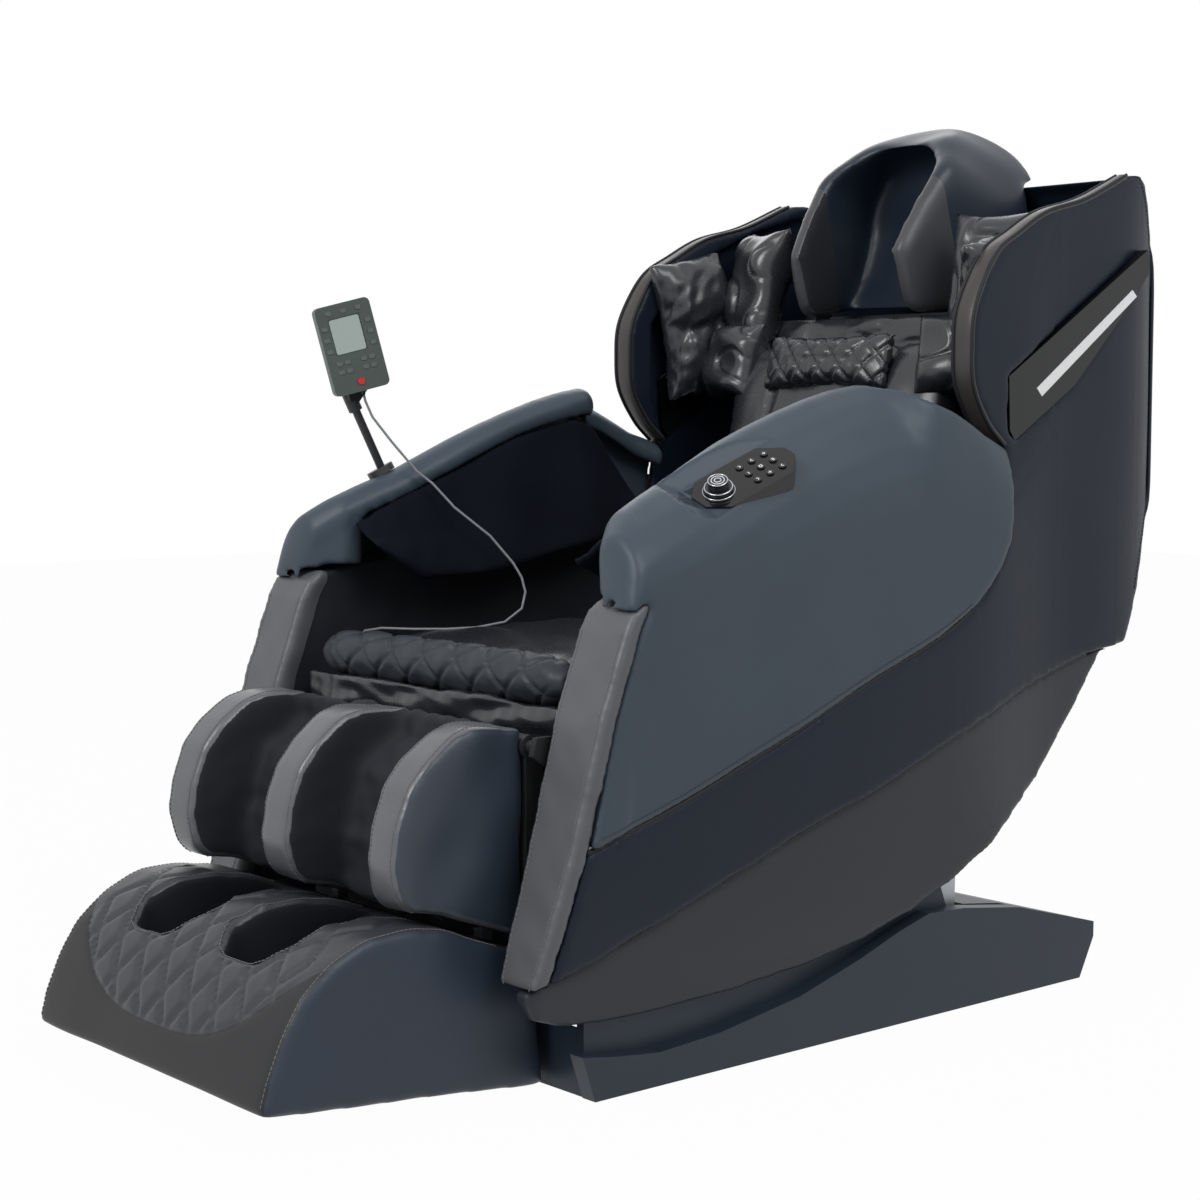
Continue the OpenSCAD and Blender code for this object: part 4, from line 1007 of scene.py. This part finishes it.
# ---- Calf rest and foot rest ----
# Both are moulded foam in sewn leather covers: three leather walls with black fabric airbag
# channels between them at the calves, and two fabric foot wells over a diamond quilted front.
calf_leather = hide("calf rest leather", (88, 90, 94), 0.5, 0.7, 0.31, [
    ("flank", linear(42, 52, 64), 0.4), ("bag", night, 0.85)])
foot_leather = hide("foot rest leather", (49, 50, 55), 0.4, 0.6, 0.37, [
    ("low", linear(19, 20, 23), 0.46), ("flank", linear(35, 46, 60), 0.44), ("bag", night, 0.85)])
calf = soft_copy("calf_leather", calf_leather, 0.0052, 26, "calf_cushion",
                 "calf_rest")
p, n = skin_of(calf)
bag_inner, bag_outer = 0.030, 0.198
ax = np.abs(p[:, 0])
edge = np.minimum(ax - bag_inner, bag_outer - ax) * 1000
facing = np.clip((-0.43 - p[:, 1]) * 1000, -30, 30)
paint_on(calf, "bag", np.minimum(edge, facing + 30))
paint_on(calf, "flank", (np.abs(n[:, 0]) - 0.62) * 12 + np.where(ax > 0.22, 0, -9))
bagged = np.clip(edge / 12, 0, 1)
write(calf, p + n * (bagged * (0.005 * ripple(p, 0.12, 61) + 0.0018 * ripple(p, 0.035, 62))
                     + (1 - bagged) * 0.0014 * ripple(p, 0.1, 63))[:, None])
calf_arc = smooth_line(outline([[-402, 449], [-440, 453], [-481, 454], [-509, 446],
                                [-541, 422], [-570, 391], [-588, 346], [-595, 300],
                                [-585, 261], [-565, 242]]), 0.006)
rows = [snap(np.column_stack([np.full(len(calf_arc), x), calf_arc]), calf)
        for x in (-0.2505, -0.206, -0.026, 0.026, 0.206, 0.2505)]
sew("calf_stitches", rows, "calf_rest", pale_thread)

foot = soft_copy("foot_leather", foot_leather, 0.0058, 20, "foot_rest",
                 "foot_rest")
p, n = skin_of(foot)
ax = np.abs(p[:, 0])
well = np.minimum(np.minimum(ax - 0.036, 0.170 - ax),
                  np.minimum(p[:, 1] + 0.708, -0.462 - p[:, 1])) * 1000
for away in (ax - 0.038, 0.168 - ax):
    well = np.minimum(well, (away / 0.030 + (p[:, 1] + 0.705) / 0.035 - 1) * 22.8 + 3)
paint_on(foot, "bag", np.where(p[:, 2] > 0.06, well, -20))
paint_on(foot, "flank", (np.abs(n[:, 0]) - 0.62) * 12 + np.where(ax > 0.235, 0, -9))
along = np.interp(p[:, 1], [-0.783, -0.772, -0.752, -0.725, -0.685, -0.637, -0.581],
                  [0, 0.0415, 0.0915, 0.141, 0.193, 0.245, 0.301])
pitch = 0.058
lines = diamonds(p[:, 0] + 0.5 * pitch, along * 0.62, pitch)
low_edge = 0.055 + 0.10 * (ax / 0.24) ** 3
quilted = (np.clip((0.235 - ax) / 0.006, 0, 1) * np.clip((along - low_edge) / 0.006, 0, 1)
           * np.clip((-0.565 - p[:, 1]) / 0.01, 0, 1) * (well < -6) * (p[:, 2] > 0.06))
# The lower front below the quilted rim is painted a much darker colour, with a duller finish.
paint_on(foot, "low", np.where(p[:, 2] < 0.2, (low_edge - along) * 1000, -20))
rim_line = np.exp(-((along - low_edge) / 0.003) ** 2) * (ax < 0.24) * (p[:, 2] > 0.06)
puffed = 0.0045 * (1 - np.exp(-(lines / 0.005) ** 2)) - 0.0025
write(foot, p + n * (quilted * puffed - 0.002 * rim_line
                     + (1 - quilted) * 0.0012 * ripple(p, 0.16, 71))[:, None])
foot_arc = smooth_line(outline([[-783, 60], [-772, 86], [-752, 132], [-725, 173], [-685, 206],
                                [-637, 226], [-581, 230], [-524, 220], [-449, 192]]), 0.006)
rows = [snap(np.column_stack([np.full(len(foot_arc), x), foot_arc]), foot)
        for x in (-0.262, 0.262)]
for side in (1, -1):
    loop = [(side * x, y, 0.225)
            for x, y in ((0.030, -0.47), (0.030, -0.600), (0.030, -0.670), (0.064, -0.712),
                         (0.142, -0.712), (0.176, -0.670), (0.176, -0.600), (0.176, -0.47))]
    rows.append(snap(smooth_line(loop, 0.006), foot))
sew("foot_stitches", rows, "foot_rest", pale_thread)

# ---- Base and mechanism ----
# A moulded satin base cover hides a welded tube frame with curved steel guides, in which the
# reclining seat frame slides on nylon shoes. Powder coated steel, nylon and rubber feet, and a
# rubber strip that closes the joint between the tail cover and each side cover.
cover_plastic = plastic("base cover plastic", (31, 42, 54), 0.42, 0.12, 0.1, 0.35)
powder = plastic("black powder coat", (40, 41, 43), 0.5, 0.25, 0.12, metal=0.2)
rubber = plastic("foot rubber", (28, 28, 29), 0.85, 0.3, 0.15, 0.3)
nylon = plastic("white nylon", (214, 210, 200), 0.5, 0.08, 0.06)
inlet_black = plastic("inlet black", (24, 24, 26), 0.4, 0.05, 0.1)


def brushed(base, place, colour):
    """Drawn steel: long fine scratches along the part."""
    drawn = base.node("ShaderNodeMapping", None, {"Vector": place, "Scale": (900, 30, 900)})
    scratch = base.noise(drawn, 1.0)
    bump = base.node("ShaderNodeBump", None,
                     {"Strength": 0.08, "Distance": 0.0003, "Height": scratch})
    return {"Roughness": 0.3 + 0.2 * scratch, "Normal": bump,
            "Base Color": scratch.blend(tint(colour, 0.85), tint(colour, 1.1))}


steel = finish_of("drawn steel", linear(168, 171, 176), 0.35, 0.5, metal=1.0, build=brushed)
dress(cover_plastic, "base_cover_left", "base_cover_right", "base_tail_cover", "base_front_cover")
dress(powder, "base_frame", "seat_frame", "calf_frame", "massage_carriage", "massage_track")
dress(steel, "guide_rails", "foot_slide_bars")
dress(rubber, "floor_glides", "kneading_head_left", "kneading_head_right")
dress(nylon, "guide_shoes")
dress(inlet_black, "mains_inlet")
dress(key_red, "mains_switch")
seal_x, seal_radius = 0.3205, 0.0066
seal_line = smooth_line(outline([[345, 127], [421, 117], [540, 85], [584, 72]]), 0.01)
for side, word in side_names.items():
    seal = tube(f"tail_seal_{word}", [(side * seal_x, y, z) for y, z in seal_line],
                seal_radius, rubber)
    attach(seal, "base")
